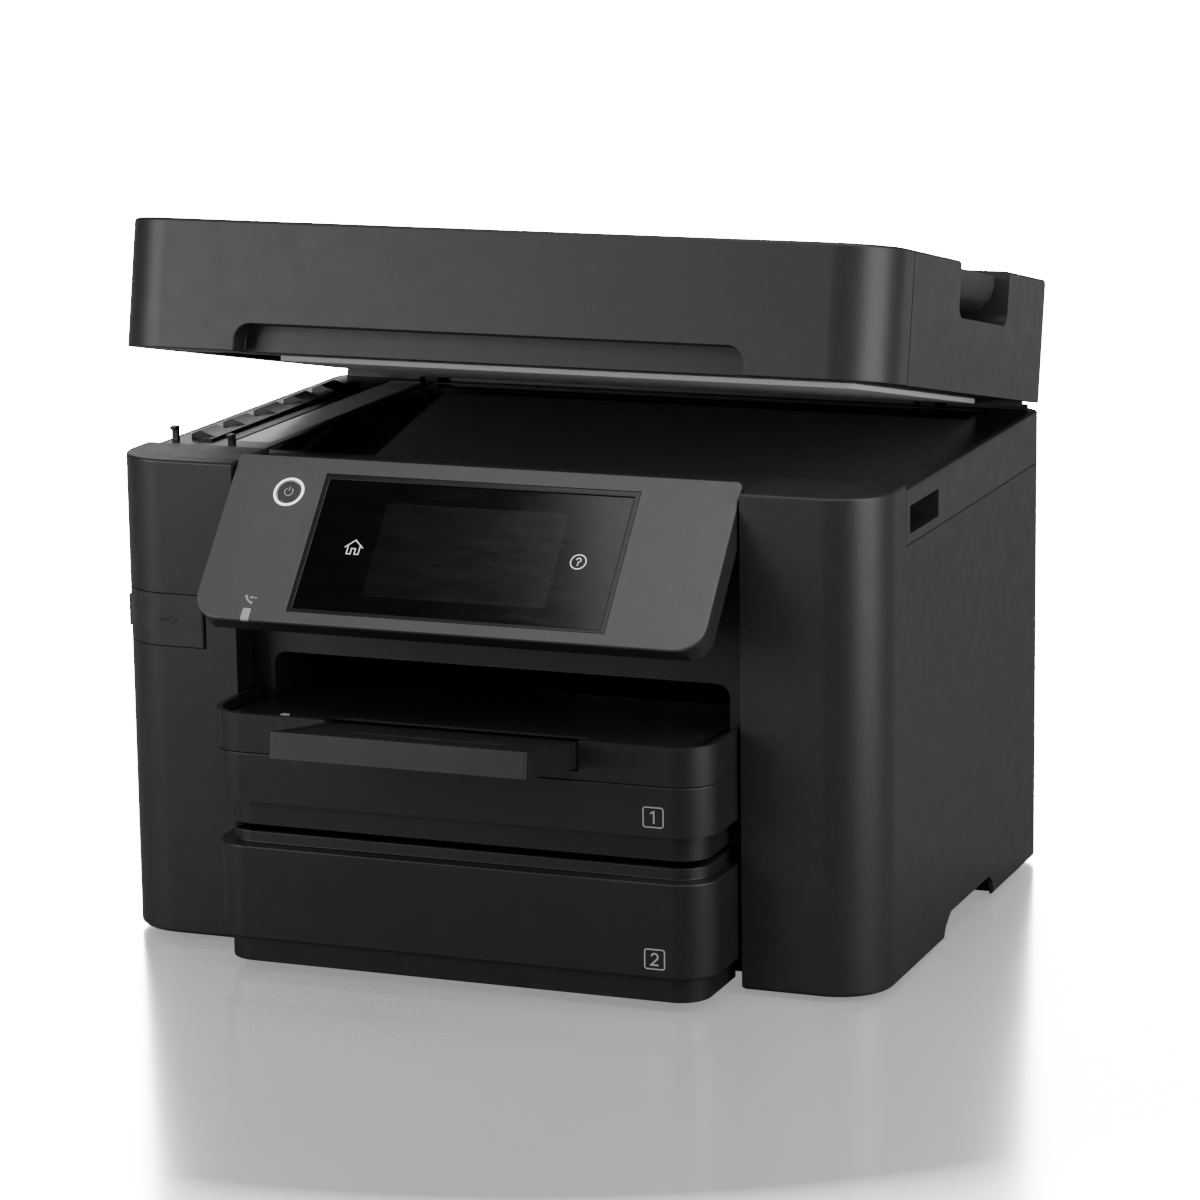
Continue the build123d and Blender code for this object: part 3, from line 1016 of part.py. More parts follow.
with BuildPart() as document_tray:
    slab(-57.6, 205, VALLEY[0] + 0.8, FRONT + 218.5, 322.6, 325.6)
    # right end turned down in a curve
    with BuildSketch(Plane.XZ.offset(-(FRONT + 208))) as end:
        with BuildLine():
            Polyline((205, 325.6), (205, 322), (203, 314), (199, 308), (192, 306.6), (192, 304.8), (200, 307), (206, 313), (208, 320), (208, 325.6), close=True)
        make_face()
    extrude(amount=208 - 129.8 - 4)
    # knuckles and pins along the rear edge
    bar(-56, FRONT + 215.5, 322, 2.8, 3.2, ALONG_X)
    bar(-58.6, FRONT + 215.5, 322, 1.5, 6, ALONG_X)
    slab(182, 188, FRONT + 211, FRONT + 220, 318, 327, Mode.SUBTRACT)
    bar(180.6, FRONT + 215.5, 322, 2.8, 4, ALONG_X)
    bar(184.6, FRONT + 215.5, 322, 1.5, 6, ALONG_X)
    bar(189.6, FRONT + 215.5, 322, 2.8, 3.6, ALONG_X)
    bar(187.6, FRONT + 215.5, 322, 1.5, 6, ALONG_X)
    for i in range(5):
        slab(-40 + 50 * i, -38.4 + 50 * i, VALLEY[0] + 4, FRONT + 210, 320.4, 323)
lid_save(document_tray.part, "document_tray")
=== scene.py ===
import json
import math

import bmesh
import bpy
from mathutils import Matrix, Vector


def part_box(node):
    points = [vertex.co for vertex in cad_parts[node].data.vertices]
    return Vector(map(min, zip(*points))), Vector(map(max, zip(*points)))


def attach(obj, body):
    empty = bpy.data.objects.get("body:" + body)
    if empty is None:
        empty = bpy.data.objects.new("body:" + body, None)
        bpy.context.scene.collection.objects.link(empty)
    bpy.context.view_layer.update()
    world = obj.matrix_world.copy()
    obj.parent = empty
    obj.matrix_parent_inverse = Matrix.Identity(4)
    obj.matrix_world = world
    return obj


# All-in-one inkjet printer: materials, printed symbols, small mouldings, camera and light
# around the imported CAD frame. Metres, in the frame's own coordinates.

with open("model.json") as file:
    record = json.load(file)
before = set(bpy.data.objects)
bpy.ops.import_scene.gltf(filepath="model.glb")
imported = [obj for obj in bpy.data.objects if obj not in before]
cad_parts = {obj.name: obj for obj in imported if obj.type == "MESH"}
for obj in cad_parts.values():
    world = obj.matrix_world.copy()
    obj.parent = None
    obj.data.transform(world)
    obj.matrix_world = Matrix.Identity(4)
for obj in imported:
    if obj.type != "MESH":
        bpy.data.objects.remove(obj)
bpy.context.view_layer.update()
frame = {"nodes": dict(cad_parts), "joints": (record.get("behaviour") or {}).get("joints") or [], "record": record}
NODES = frame["nodes"]
JOINTS = {joint["name"]: joint for joint in frame["joints"]}
MM = 0.001


# ---------------------------------------------------------------- placing pieces
def about_joint(name, degrees):
    """Matrix that turns a point about a hinge's axis, from that hinge's rest position."""
    joint = JOINTS[name]
    pivot = Matrix.Translation(Vector(joint["pos_m"]))
    turn = Matrix.Rotation(math.radians(degrees), 4, Vector(joint["axis"]))
    return pivot @ turn @ pivot.inverted()


# Pieces on the panel are drawn with the panel upright, and those on the cover with the cover closed.
PANEL = about_joint("control_panel_hinge", -JOINTS["control_panel_hinge"]["range_deg"][0])
COVER = about_joint("document_cover_hinge", -JOINTS["document_cover_hinge"]["range_deg"][0])
STILL = Matrix.Identity(4)


def resting_box(node, place=STILL):
    """Lowest and highest corner of a node before the turn that its body has at rest."""
    back = place.inverted()
    points = [back @ vertex.co for vertex in NODES[node].data.vertices]
    low = Vector(min(point[i] for point in points) for i in range(3))
    high = Vector(max(point[i] for point in points) for i in range(3))
    return low, high


def add_piece(name, bm, material, body, place=STILL):
    """A flat-shaded mesh piece from a bmesh in metres, riding on a body."""
    mesh = bpy.data.meshes.new(name)
    bm.transform(place)
    bmesh.ops.recalc_face_normals(bm, faces=bm.faces)
    for face in bm.faces:
        face.smooth = False
    bm.to_mesh(mesh)
    bm.free()
    piece = bpy.data.objects.new(name, mesh)
    bpy.context.scene.collection.objects.link(piece)
    mesh.materials.append(material)
    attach(piece, body)


# ---------------------------------------------------------------- materials
class Surface:
    """Small helper that builds a Principled material node by node."""

    def __init__(self, name, colour, roughness, specular=0.5, metallic=0.0):
        self.material = bpy.data.materials.new(name)
        self.material.use_nodes = True
        self.tree = self.material.node_tree
        self.shader = self.tree.nodes["Principled BSDF"]
        self.shader.inputs["Base Color"].default_value = (*colour, 1)
        self.shader.inputs["Roughness"].default_value = roughness
        self.shader.inputs["Specular IOR Level"].default_value = specular
        self.shader.inputs["Metallic"].default_value = metallic
        self.place = self.tree.nodes.new("ShaderNodeTexCoord").outputs["Object"]

    def link(self, source, target):
        self.tree.links.new(source, target)

    def stretched(self, scale):
        """The object coordinates, scaled per axis."""
        node = self.tree.nodes.new("ShaderNodeMapping")
        node.inputs["Scale"].default_value = scale
        self.link(self.place, node.inputs["Vector"])
        return node.outputs["Vector"]

    def noise(self, size, detail=2.0, roughness=0.5, place=None):
        """Noise whose blobs are about size metres across."""
        node = self.tree.nodes.new("ShaderNodeTexNoise")
        node.inputs["Scale"].default_value = 1.0 / size
        node.inputs["Detail"].default_value = detail
        node.inputs["Roughness"].default_value = roughness
        self.link(place or self.place, node.inputs["Vector"])
        return node.outputs["Fac"]

    def cells(self, size):
        """Distance from the middle of irregular cells about size metres across."""
        node = self.tree.nodes.new("ShaderNodeTexVoronoi")
        node.inputs["Scale"].default_value = 1.0 / size
        self.link(self.place, node.inputs["Vector"])
        return node.outputs["Distance"]

    def ranged(self, value, low, high, out_low, out_high):
        """A value mapped from low..high to out_low..out_high and held there."""
        node = self.tree.nodes.new("ShaderNodeMapRange")
        node.inputs["From Min"].default_value = low
        node.inputs["From Max"].default_value = high
        node.inputs["To Min"].default_value = out_low
        node.inputs["To Max"].default_value = out_high
        self.link(value, node.inputs["Value"])
        return node.outputs["Result"]

    def edges(self, strength):
        """Mask of worn outer edges, broken up so that no edge is evenly rubbed."""
        geometry = self.tree.nodes.new("ShaderNodeNewGeometry")
        sharp = self.ranged(geometry.outputs["Pointiness"], 0.52, 0.62, 0.0, strength)
        broken = self.ranged(self.noise(0.006, 3), 0.35, 0.65, 0.2, 1.0)
        node = self.tree.nodes.new("ShaderNodeMath")
        node.operation = "MULTIPLY"
        self.link(sharp, node.inputs[0])
        self.link(broken, node.inputs[1])
        return node.outputs["Value"]

    def blend(self, factor, first, second):
        """A colour blend; each side is a colour or another node's output."""
        node = self.tree.nodes.new("ShaderNodeMix")
        node.data_type = "RGBA"
        self.link(factor, node.inputs["Factor"])
        for socket, value in ((node.inputs[6], first), (node.inputs[7], second)):
            if isinstance(value, tuple):
                socket.default_value = (*value, 1)
            else:
                self.link(value, socket)
        return node.outputs[2]

    def bump(self, height, depth, strength=1.0, under=None):
        """A normal bent by a height that stands for depth metres, over another bump if given."""
        node = self.tree.nodes.new("ShaderNodeBump")
        node.inputs["Distance"].default_value = depth
        node.inputs["Strength"].default_value = strength
        self.link(height, node.inputs["Height"])
        if under is not None:
            self.link(under, node.inputs["Normal"])
        return node.outputs["Normal"]

    def set(self, socket, value):
        """Drives a socket of the shader."""
        self.link(value, self.shader.inputs[socket])


def shade(colour, factor):
    """A colour made darker or lighter."""
    return tuple(min(1.0, channel * factor) for channel in colour)


def moulded(name, colour, roughness, grain=0.0007, depth=0.00003, wear=0.5, specular=0.5):
    """Moulded plastic: spark-eroded grain, faint clouding, uneven sheen and rubbed edges."""
    s = Surface(name, colour, roughness, specular)
    clouds = s.ranged(s.noise(0.045, 4), 0.3, 0.7, 0.0, 1.0)
    tone = s.blend(clouds, shade(colour, 0.95), shade(colour, 1.05))
    specks = s.ranged(s.noise(grain * 1.4, 2), 0.42, 0.72, 0.0, 0.35)
    tone = s.blend(specks, tone, shade(colour, 1.5))
    s.set("Base Color", s.blend(s.edges(wear), tone, shade(colour, 2.2)))
    s.set("Roughness", s.ranged(s.noise(0.012, 5), 0.3, 0.7, roughness - 0.025, roughness + 0.03))
    pits = s.bump(s.noise(grain, 3, 0.6), depth)
    s.set("Normal", s.bump(s.noise(0.03, 2), 0.00003, 0.2, pits))
    return s.material


def polished(name, colour, roughness):
    """Glossy plastic or glass front with faint wipe marks and dust."""
    s = Surface(name, colour, roughness)
    marks = s.noise(0.01, 5, 0.7, s.stretched((0.3, 1, 1)))
    s.set("Roughness", s.ranged(marks, 0.35, 0.75, roughness, roughness + 0.07))
    dust = s.ranged(s.noise(0.0009, 1), 0.7, 0.8, 0.0, 0.5)
    s.set("Base Color", s.blend(dust, colour, shade(colour, 2.5)))
    s.set("Normal", s.bump(s.noise(0.03, 2), 0.00002, 0.3))
    return s.material


def rubbery(name, colour):
    """Dull rubber with a mottled tone."""
    s = Surface(name, colour, 0.75, 0.3)
    mottle = s.ranged(s.noise(0.004, 4), 0.35, 0.7, 0, 1)
    s.set("Base Color", s.blend(mottle, shade(colour, 0.8), shade(colour, 1.5)))
    s.set("Roughness", s.ranged(s.noise(0.002, 3), 0.3, 0.7, 0.65, 0.85))
    s.set("Normal", s.bump(s.noise(0.0004, 3), 0.00005))
    return s.material


def sheet_metal(name, colour, roughness):
    """Rolled zinc-plated steel: long fine streaks and a faint spangle."""
    s = Surface(name, colour, roughness, 0.5, 1.0)
    streaks = s.noise(0.0006, 3, 0.6, s.stretched((0.03, 1, 1)))
    spangle = s.ranged(s.cells(0.008), 0.0, 0.7, 0.0, 0.35)
    tone = s.blend(streaks, shade(colour, 0.8), shade(colour, 1.1))
    s.set("Base Color", s.blend(spangle, tone, shade(colour, 0.7)))
    s.set("Roughness", s.ranged(streaks, 0.3, 0.7, roughness - 0.08, roughness + 0.1))
    s.set("Normal", s.bump(streaks, 0.00001))
    return s.material


def glowing(name, colour, strength):
    """Milky light guide, a little brighter in places."""
    s = Surface(name, colour, 0.35)
    s.shader.inputs["Emission Color"].default_value = (*colour, 1)
    s.set("Emission Strength", s.ranged(s.noise(0.004, 2), 0.3, 0.7, strength * 0.9, strength * 1.1))
    s.set("Roughness", s.ranged(s.noise(0.001, 2), 0.3, 0.7, 0.3, 0.4))
    return s.material


def light_ring(name, colour, strength, centre, inner):
    """Ring-shaped light guide that glows only outside an inner radius."""
    s = Surface(name, (0.05, 0.05, 0.055), 0.35)
    away = s.tree.nodes.new("ShaderNodeVectorMath")
    away.operation = "DISTANCE"
    away.inputs[1].default_value = centre
    s.link(s.place, away.inputs[0])
    lit = s.ranged(away.outputs["Value"], inner - 0.0002, inner + 0.0002, 0.0, strength)
    s.shader.inputs["Emission Color"].default_value = (*colour, 1)
    s.set("Emission Strength", lit)
    s.set("Roughness", s.ranged(s.noise(0.001, 2), 0.3, 0.7, 0.3, 0.4))
    return s.material


def printed(name, colour, strength=0.0):
    """Screen-printed ink, slightly uneven at its edges and in its gloss, and given a painted glow of the given
    strength.
    """
    s = Surface(name, colour, 0.4)
    thin = s.ranged(s.noise(0.0006, 3), 0.4, 0.7, 0, 0.6)
    s.set("Base Color", s.blend(thin, colour, shade(colour, 0.8)))
    s.set("Roughness", s.ranged(s.noise(0.002, 3), 0.3, 0.7, 0.3, 0.5))
    s.shader.inputs["Emission Color"].default_value = (*colour, 1)
    s.shader.inputs["Emission Strength"].default_value = strength
    return s.material


def foam(name, colour):
    """Closed-cell foam with a fine pitted skin."""
    s = Surface(name, colour, 0.8, 0.2)
    mottle = s.ranged(s.noise(0.002, 4), 0.3, 0.7, 0, 1)
    s.set("Base Color", s.blend(mottle, shade(colour, 0.93), colour))
    s.set("Roughness", s.ranged(s.noise(0.003, 3), 0.3, 0.7, 0.7, 0.9))
    s.set("Normal", s.bump(s.cells(0.0007), 0.00008))
    return s.material


def board(name, colour):
    """Solder mask with copper traces showing through."""
    s = Surface(name, colour, 0.35)
    traces = s.tree.nodes.new("ShaderNodeTexBrick")
    traces.inputs["Scale"].default_value = 90
    traces.inputs["Color1"].default_value = (*colour, 1)
    traces.inputs["Color2"].default_value = (*shade(colour, 1.3), 1)
    traces.inputs["Mortar"].default_value = (*shade(colour, 2.4), 1)
    turned = s.tree.nodes.new("ShaderNodeMapping")
    turned.inputs["Rotation"].default_value = (0, math.radians(90), 0)
    s.link(s.place, turned.inputs["Vector"])
    s.link(turned.outputs["Vector"], traces.inputs["Vector"])
    s.set("Base Color", traces.outputs["Color"])
    s.set("Roughness", s.ranged(s.noise(0.004, 3), 0.3, 0.7, 0.25, 0.45))
    return s.material


def clear_glass(name, tint, alpha):
    """Dark float glass over a black interior."""
    s = Surface(name, tint, 0.04, 0.5)
    s.shader.inputs["Alpha"].default_value = alpha
    s.set("Roughness", s.ranged(s.noise(0.02, 4), 0.35, 0.75, 0.03, 0.09))
    s.set("Normal", s.bump(s.noise(0.08, 1), 0.00002, 0.2))
    return s.material


CHARCOAL = (0.016, 0.016, 0.0165)
FASCIA_GREY = (0.062, 0.063, 0.065)
LAMP_WHITE = (0.93, 0.94, 1.0)
MATERIALS = {
    "housing_plastic": moulded("housing_plastic", CHARCOAL, 0.42),
    "lid_plastic": moulded("lid_plastic", shade(CHARCOAL, 1.15), 0.42),
    "cassette_plastic": moulded("cassette_plastic", (0.0105, 0.0105, 0.011), 0.42, specular=0.45),
    "fascia_plastic": moulded("fascia_plastic", FASCIA_GREY, 0.42, 0.0005, 0.000008, 0.35),
    "bezel_plastic": polished("bezel_plastic", (0.012, 0.012, 0.013), 0.2),
    "display_face": polished("display_face", (0.001, 0.001, 0.0011), 0.1),
    "scanner_glass": clear_glass("scanner_glass", (0.003, 0.0034, 0.0038), 0.85),
    "pressing_mat": foam("pressing_mat", (0.78, 0.78, 0.76)),
    "inner_plastic": moulded("inner_plastic", (0.007, 0.007, 0.0075), 0.5, specular=0.35),
    "light_guide": glowing("light_guide", LAMP_WHITE, 2.2),
    "button_plastic": polished("button_plastic", (0.05, 0.05, 0.052), 0.3),
    "rubber": rubbery("rubber", (0.012, 0.012, 0.012)),
    "sheet_steel": sheet_metal("sheet_steel", (0.5, 0.51, 0.52), 0.35),
    "shaft_steel": sheet_metal("shaft_steel", (0.6, 0.6, 0.61), 0.22),
    "motor_steel": sheet_metal("motor_steel", (0.35, 0.35, 0.36), 0.4),
    "circuit_board": board("circuit_board", (0.01, 0.08, 0.035)),
    "cartridge_plastic": moulded("cartridge_plastic", (0.04, 0.04, 0.045), 0.35),
    "socket_plastic": moulded("socket_plastic", (0.01, 0.01, 0.011), 0.4),
    "felt_box": moulded("felt_box", (0.4, 0.4, 0.38), 0.55),
}
DECK_PLASTIC = moulded("deck_plastic", (0.006, 0.006, 0.0065), 0.3, depth=0.00002)
FRAME_PLASTIC = moulded("frame_plastic", CHARCOAL, 0.5)
FAX_GREY = glowing("fax_grey", (0.35, 0.35, 0.35), 0.12)
# white and grey ink glow faintly: a painted glow that makes the printed symbols read brighter
WHITE_INK = printed("white_ink", (0.85, 0.86, 0.88), 0.35)
GREY_INK = printed("grey_ink", (0.4, 0.4, 0.41), 0.1)
# black for printed signs, and painted shade in the grooves on the column tops
INK_AND_SHADE_BLACK = printed("ink_and_shade_black", (0.004, 0.004, 0.004))
WHITE_STRIP = polished("white_strip", (0.7, 0.7, 0.7), 0.12)
LCD_FACE = polished("lcd_face", (0.0025, 0.0026, 0.0028), 0.14)
# near-black for the cover latches, and painted shade on the rear baffle and hinge fillers
LATCH_AND_SHADE_BLACK = moulded("latch_and_shade_black", (0.002, 0.002, 0.002), 0.7, specular=0.1)

LIT_WIDTH = 0.0013        # the ring glows over this much of its radius
RING_LOW, RING_HIGH = resting_box("power_ring", PANEL)
ring_middle = (RING_LOW + RING_HIGH) / 2
ring_front = PANEL @ Vector((ring_middle.x, RING_LOW.y, ring_middle.z))
ring_inner = (RING_HIGH.x - RING_LOW.x) / 2 - LIT_WIDTH
POWER_GLOW = light_ring("power_glow", LAMP_WHITE, 2.6, ring_front, ring_inner)

OWN_MATERIAL = {
    "scanner_deck": DECK_PLASTIC,
    "front_frame": FRAME_PLASTIC,
    "fax_light": FAX_GREY,
    "feeder_glass": WHITE_STRIP,
    "power_ring": POWER_GLOW,
}


# ---------------------------------------------------------------- CAD nodes: finish and softened edges
def smoothing_group():
    """Geometry nodes that join split vertices and shade every face smooth."""
    group = bpy.data.node_groups.new("join_and_smooth", "GeometryNodeTree")
    group.interface.new_socket("Geometry", in_out="INPUT", socket_type="NodeSocketGeometry")
    group.interface.new_socket("Geometry", in_out="OUTPUT", socket_type="NodeSocketGeometry")
    start = group.nodes.new("NodeGroupInput")
    end = group.nodes.new("NodeGroupOutput")
    merge = group.nodes.new("GeometryNodeMergeByDistance")
    merge.inputs["Distance"].default_value = JOIN_WITHIN
    smooth_faces = group.nodes.new("GeometryNodeSetShadeSmooth")
    group.links.new(start.outputs[0], merge.inputs["Geometry"])
    group.links.new(merge.outputs[0], smooth_faces.inputs["Geometry"])
    group.links.new(smooth_faces.outputs[0], end.inputs[0])
    return group


JOIN_WITHIN = 0.000005    # vertices closer than this become one
SMOOTHING = smoothing_group()
# width in millimetres of the softened edges of the larger mouldings, and of all other nodes
EDGE_RADIUS = {
    "left_housing": 0.5, "right_housing": 0.5, "lid_shell": 0.6, "lid_front_cover": 0.6,
    "cassette_1_front": 0.6, "cassette_1_cover": 0.6, "cassette_2_front": 0.6, "output_tray": 0.35,
    "panel_housing": 0.6, "rear_cover": 0.6, "document_mat": 0.5,
}
SMALL_EDGE = 0.25
FLAT_WITHIN = math.radians(0.6)     # faces this close to level with each other become one
SHARP_FROM = math.radians(35)       # edges sharper than this are softened
FACE_WEIGHT = 80                    # how strongly large faces set the shading of their edges


def finish_node(name, node, slot):
    """Material, softened edges and clean shading for one CAD node."""
    node.data.materials.clear()
    node.data.materials.append(OWN_MATERIAL.get(name, MATERIALS[slot]))
    smoothing = node.modifiers.new("smoothing", "NODES")
    smoothing.node_group = SMOOTHING
    planar = node.modifiers.new("planar", "DECIMATE")
    planar.decimate_type = "DISSOLVE"
    planar.angle_limit = FLAT_WITHIN
    bevel = node.modifiers.new("edge", "BEVEL")
    bevel.width = EDGE_RADIUS.get(name, SMALL_EDGE) * MM
    bevel.segments = 2
    bevel.limit_method = "ANGLE"
    bevel.angle_limit = SHARP_FROM
    bevel.use_clamp_overlap = True
    weights = node.modifiers.new("normals", "WEIGHTED_NORMAL")
    weights.weight = FACE_WEIGHT


for entry in frame["record"]["subparts"]:
    finish_node(entry["node"], NODES[entry["node"]], entry["material_slot"])


# ---------------------------------------------------------------- printed symbols
INK_THICKNESS = 0.00004
PROUD = 0.00002           # gap between a face and what is printed on it


def arc(centre, radius, start, end, steps):
    """Points on an arc, angles in degrees from the first axis."""
    angles = [math.radians(start + (end - start) * i / steps) for i in range(steps + 1)]
    return [(centre[0] + radius * math.cos(a), centre[1] + radius * math.sin(a)) for a in angles]


def rounded_square(centre, width, height, radius):
    """Closed outline of a rectangle with rounded corners."""
    outline = []
    corners = ((1, -1, -90), (1, 1, 0), (-1, 1, 90), (-1, -1, 180))
    for sx, sy, angle in corners:
        middle = (centre[0] + sx * (width / 2 - radius), centre[1] + sy * (height / 2 - radius))
        outline += arc(middle, radius, angle, angle + 90, 6)
    return outline


def stroke(bm, path, width, closed=False):
    """A flat ribbon of even width along a path, drawn in the plane of the first two axes."""
    count = len(path)
    sides = []
    for i in range(count):
        here = Vector(path[i])
        before = Vector(path[i - 1]) if i > 0 or closed else None
        after = Vector(path[(i + 1) % count]) if i < count - 1 or closed else None
        incoming = (here - before).normalized() if before is not None else None
        outgoing = (after - here).normalized() if after is not None else None
        incoming = incoming or outgoing
        outgoing = outgoing or incoming
        along = (incoming + outgoing).normalized()
        across = Vector((-along.y, along.x))
        reach = width / 2 / max(0.35, across.dot(Vector((-outgoing.y, outgoing.x))))
        sides.append((here + across * reach, here - across * reach))
    rows = [(bm.verts.new((*a, 0)), bm.verts.new((*b, 0))) for a, b in sides]
    last = count if closed else count - 1
    for i in range(last):
        a, b = rows[i], rows[(i + 1) % count]
        bm.faces.new((a[0], a[1], b[1], b[0]))


def disc(bm, centre, radius):
    """A flat round face."""
    bm.faces.new([bm.verts.new((*point, 0)) for point in arc(centre, radius, 0, 360, 24)[:-1]])


def patch(bm, outline):
    """A flat face with the given outline."""
    bm.faces.new([bm.verts.new((*point, 0)) for point in outline])


def raise_ink(bm):
    """Gives flat ink its thickness, towards the viewer."""
    made = bmesh.ops.extrude_face_region(bm, geom=bm.faces[:])
    lifted = [item for item in made["geom"] if isinstance(item, bmesh.types.BMVert)]
    bmesh.ops.translate(bm, verts=lifted, vec=(0, 0, INK_THICKNESS))


def facing_front(x, y, z):
    """Places drawing axes (right, up, towards the viewer) on a face whose normal is -Y."""
    return Matrix.Translation((x, y, z)) @ Matrix.Rotation(math.radians(90), 4, "X")


def symbol(name, draw, at, material, body, place=STILL):
    """A printed symbol. draw(bm) works in millimetres about the point `at`."""
    bm = bmesh.new()
    draw(bm)
    bm.transform(Matrix.Scale(MM, 4))
    raise_ink(bm)
    bm.transform(facing_front(*at))
    add_piece(name, bm, material, body, place)


def draw_number_frame(bm):
    stroke(bm, rounded_square((0, 0), 10.6, 10.2, 1.2), 0.62, closed=True)


def draw_one(bm):
    draw_number_frame(bm)
    stroke(bm, [(-1.6, 1.9), (0.35, 3.0), (0.35, -3.3)], 0.8)


def draw_two(bm):
    draw_number_frame(bm)
    bend = arc((0, 1.25), 1.75, 170, -35, 12)
    stroke(bm, bend + [(-1.9, -2.95), (2.1, -2.95)], 0.8)


def draw_house(bm):
    stroke(bm, [(-5.0, 0.0), (0, 4.4), (5.0, 0.0)], 0.55)
    walls = [(-3.3, 1.2), (-3.3, -3.8), (-1.1, -3.8), (-1.1, -0.6)]
    stroke(bm, walls + [(-x, y) for x, y in reversed(walls)], 0.55)


def draw_question(bm):
    stroke(bm, arc((0, 0), 4.1, 0, 360, 36)[:-1], 0.55, closed=True)
    stroke(bm, arc((0, 0.95), 1.2, 175, -50, 10), 0.55)
    stroke(bm, [(0.3, 0.1), (0.05, -0.3), (0, -1.0)], 0.55)
    disc(bm, (0, -1.95), 0.38)


def draw_phone(bm):
    stroke(bm, arc((2.2, 2.4), 4.2, 190, 262, 10), 0.9)
    disc(bm, (-2.1, 1.6), 0.8)
    disc(bm, (1.4, -1.9), 0.8)
    stroke(bm, [(4.0, 1.2), (0.6, 1.2)], 0.5)
    patch(bm, [(-0.4, 1.2), (1.2, 2.1), (1.2, 0.3)])


def draw_power(bm):
    stroke(bm, arc((0, 0), 2.3, 125, 415, 24), 0.5)
    stroke(bm, [(0, 0.6), (0, 3.0)], 0.5)


def draw_trident(bm):
    """Three-pronged serial bus sign lying on its side, arrow to the right."""
    stroke(bm, [(-4.4, 0), (4.0, 0)], 0.5)
    disc(bm, (-4.6, 0), 0.9)
    patch(bm, [(3.6, 1.0), (5.6, 0), (3.6, -1.0)])
    stroke(bm, [(-2.6, 0), (-1.2, 1.7), (0.9, 1.7)], 0.45)
    disc(bm, (1.2, 1.7), 0.65)
    stroke(bm, [(-1.4, 0), (0.1, -1.7), (1.7, -1.7)], 0.45)
    patch(bm, [(1.5, -2.3), (2.7, -2.3), (2.7, -1.1), (1.5, -1.1)])


CASSETTE_1_LOW, CASSETTE_1_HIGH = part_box("cassette_1_front")
CASSETTE_2_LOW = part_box("cassette_2_front")[0]
number_x = CASSETTE_1_HIGH.x - 28.6 * MM
number_1_at = (number_x, CASSETTE_1_LOW.y - PROUD, CASSETTE_1_LOW.z + 24.2 * MM)
number_2_at = (number_x, CASSETTE_2_LOW.y - PROUD, CASSETTE_2_LOW.z + 23.4 * MM)
symbol("tray_number_1", draw_one, number_1_at, GREY_INK, "cassette_1")
symbol("tray_number_2", draw_two, number_2_at, GREY_INK, "cassette_2")

# places across and up the panel, with the panel upright
HOME_X, HOME_Z = -0.060, 0.2080
HELP_X, HELP_Z = 0.063, 0.2082
FAX_X, FAX_Z = -0.1085, 0.1735
SCREEN_FACE = resting_box("touch_screen", PANEL)[0].y - PROUD
FASCIA_FACE = resting_box("panel_fascia", PANEL)[0].y - PROUD
symbol("home_key", draw_house, (HOME_X, SCREEN_FACE, HOME_Z), WHITE_INK, "control_panel", PANEL)
symbol("help_key", draw_question, (HELP_X, SCREEN_FACE, HELP_Z), WHITE_INK, "control_panel", PANEL)
symbol("fax_sign", draw_phone, (FAX_X, FASCIA_FACE, FAX_Z), GREY_INK, "control_panel", PANEL)
BUTTON_LOW, BUTTON_HIGH = resting_box("power_button", PANEL)
button_middle = (BUTTON_LOW + BUTTON_HIGH) / 2
power_sign_at = (button_middle.x, BUTTON_LOW.y - PROUD, button_middle.z)
symbol("power_sign", draw_power, power_sign_at, GREY_INK, "power_key", PANEL)

USB_SIGN_X = -0.1785
DOOR_LOW, DOOR_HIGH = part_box("usb_door")
door_middle = (DOOR_LOW.z + DOOR_HIGH.z) / 2
HOUSING_LOW, HOUSING_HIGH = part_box("left_housing")
usb_sign_at = (USB_SIGN_X, HOUSING_LOW.y - PROUD, door_middle)
symbol("usb_sign", draw_trident, usb_sign_at, INK_AND_SHADE_BLACK, "memory_stick_door")


# ---------------------------------------------------------------- small mouldings and lines
def block(name, low, high, material, body, place=STILL, rounding=0.0):
    """A box piece between two corners in metres, its edges optionally rounded."""
    bm = bmesh.new()
    bmesh.ops.create_cube(bm, size=1)
    low, high = Vector(low), Vector(high)
    size = high - low
    bm.transform(Matrix.Translation((low + high) / 2) @ Matrix.Diagonal((*size, 1)))
    if rounding:
        bmesh.ops.bevel(bm, geom=bm.edges[:], offset=rounding, segments=2, affect="EDGES", profile=0.5)
    add_piece(name, bm, material, body, place)


def groove_shade_line(name, path, height, width, body):
    """A fine moulded groove drawn on a level face as a black line of painted shade; path in millimetres, height in
    metres.
    """
    bm = bmesh.new()
    stroke(bm, path, width)
    bm.transform(Matrix.Scale(MM, 4))
    raise_ink(bm)
    bm.transform(Matrix.Translation((0, 0, height)))
    add_piece(name, bm, INK_AND_SHADE_BLACK, body)


# picture area of the screen, at the display's own place on the panel
LCD_LEFT, LCD_RIGHT = -0.0485, 0.0515
LCD_BOTTOM, LCD_TOP = 0.1803, 0.2355
block(
    "lcd_area",
    (LCD_LEFT, SCREEN_FACE - PROUD, LCD_BOTTOM),
    (LCD_RIGHT, SCREEN_FACE, LCD_TOP),
    LCD_FACE,
    "control_panel",
    PANEL,
)
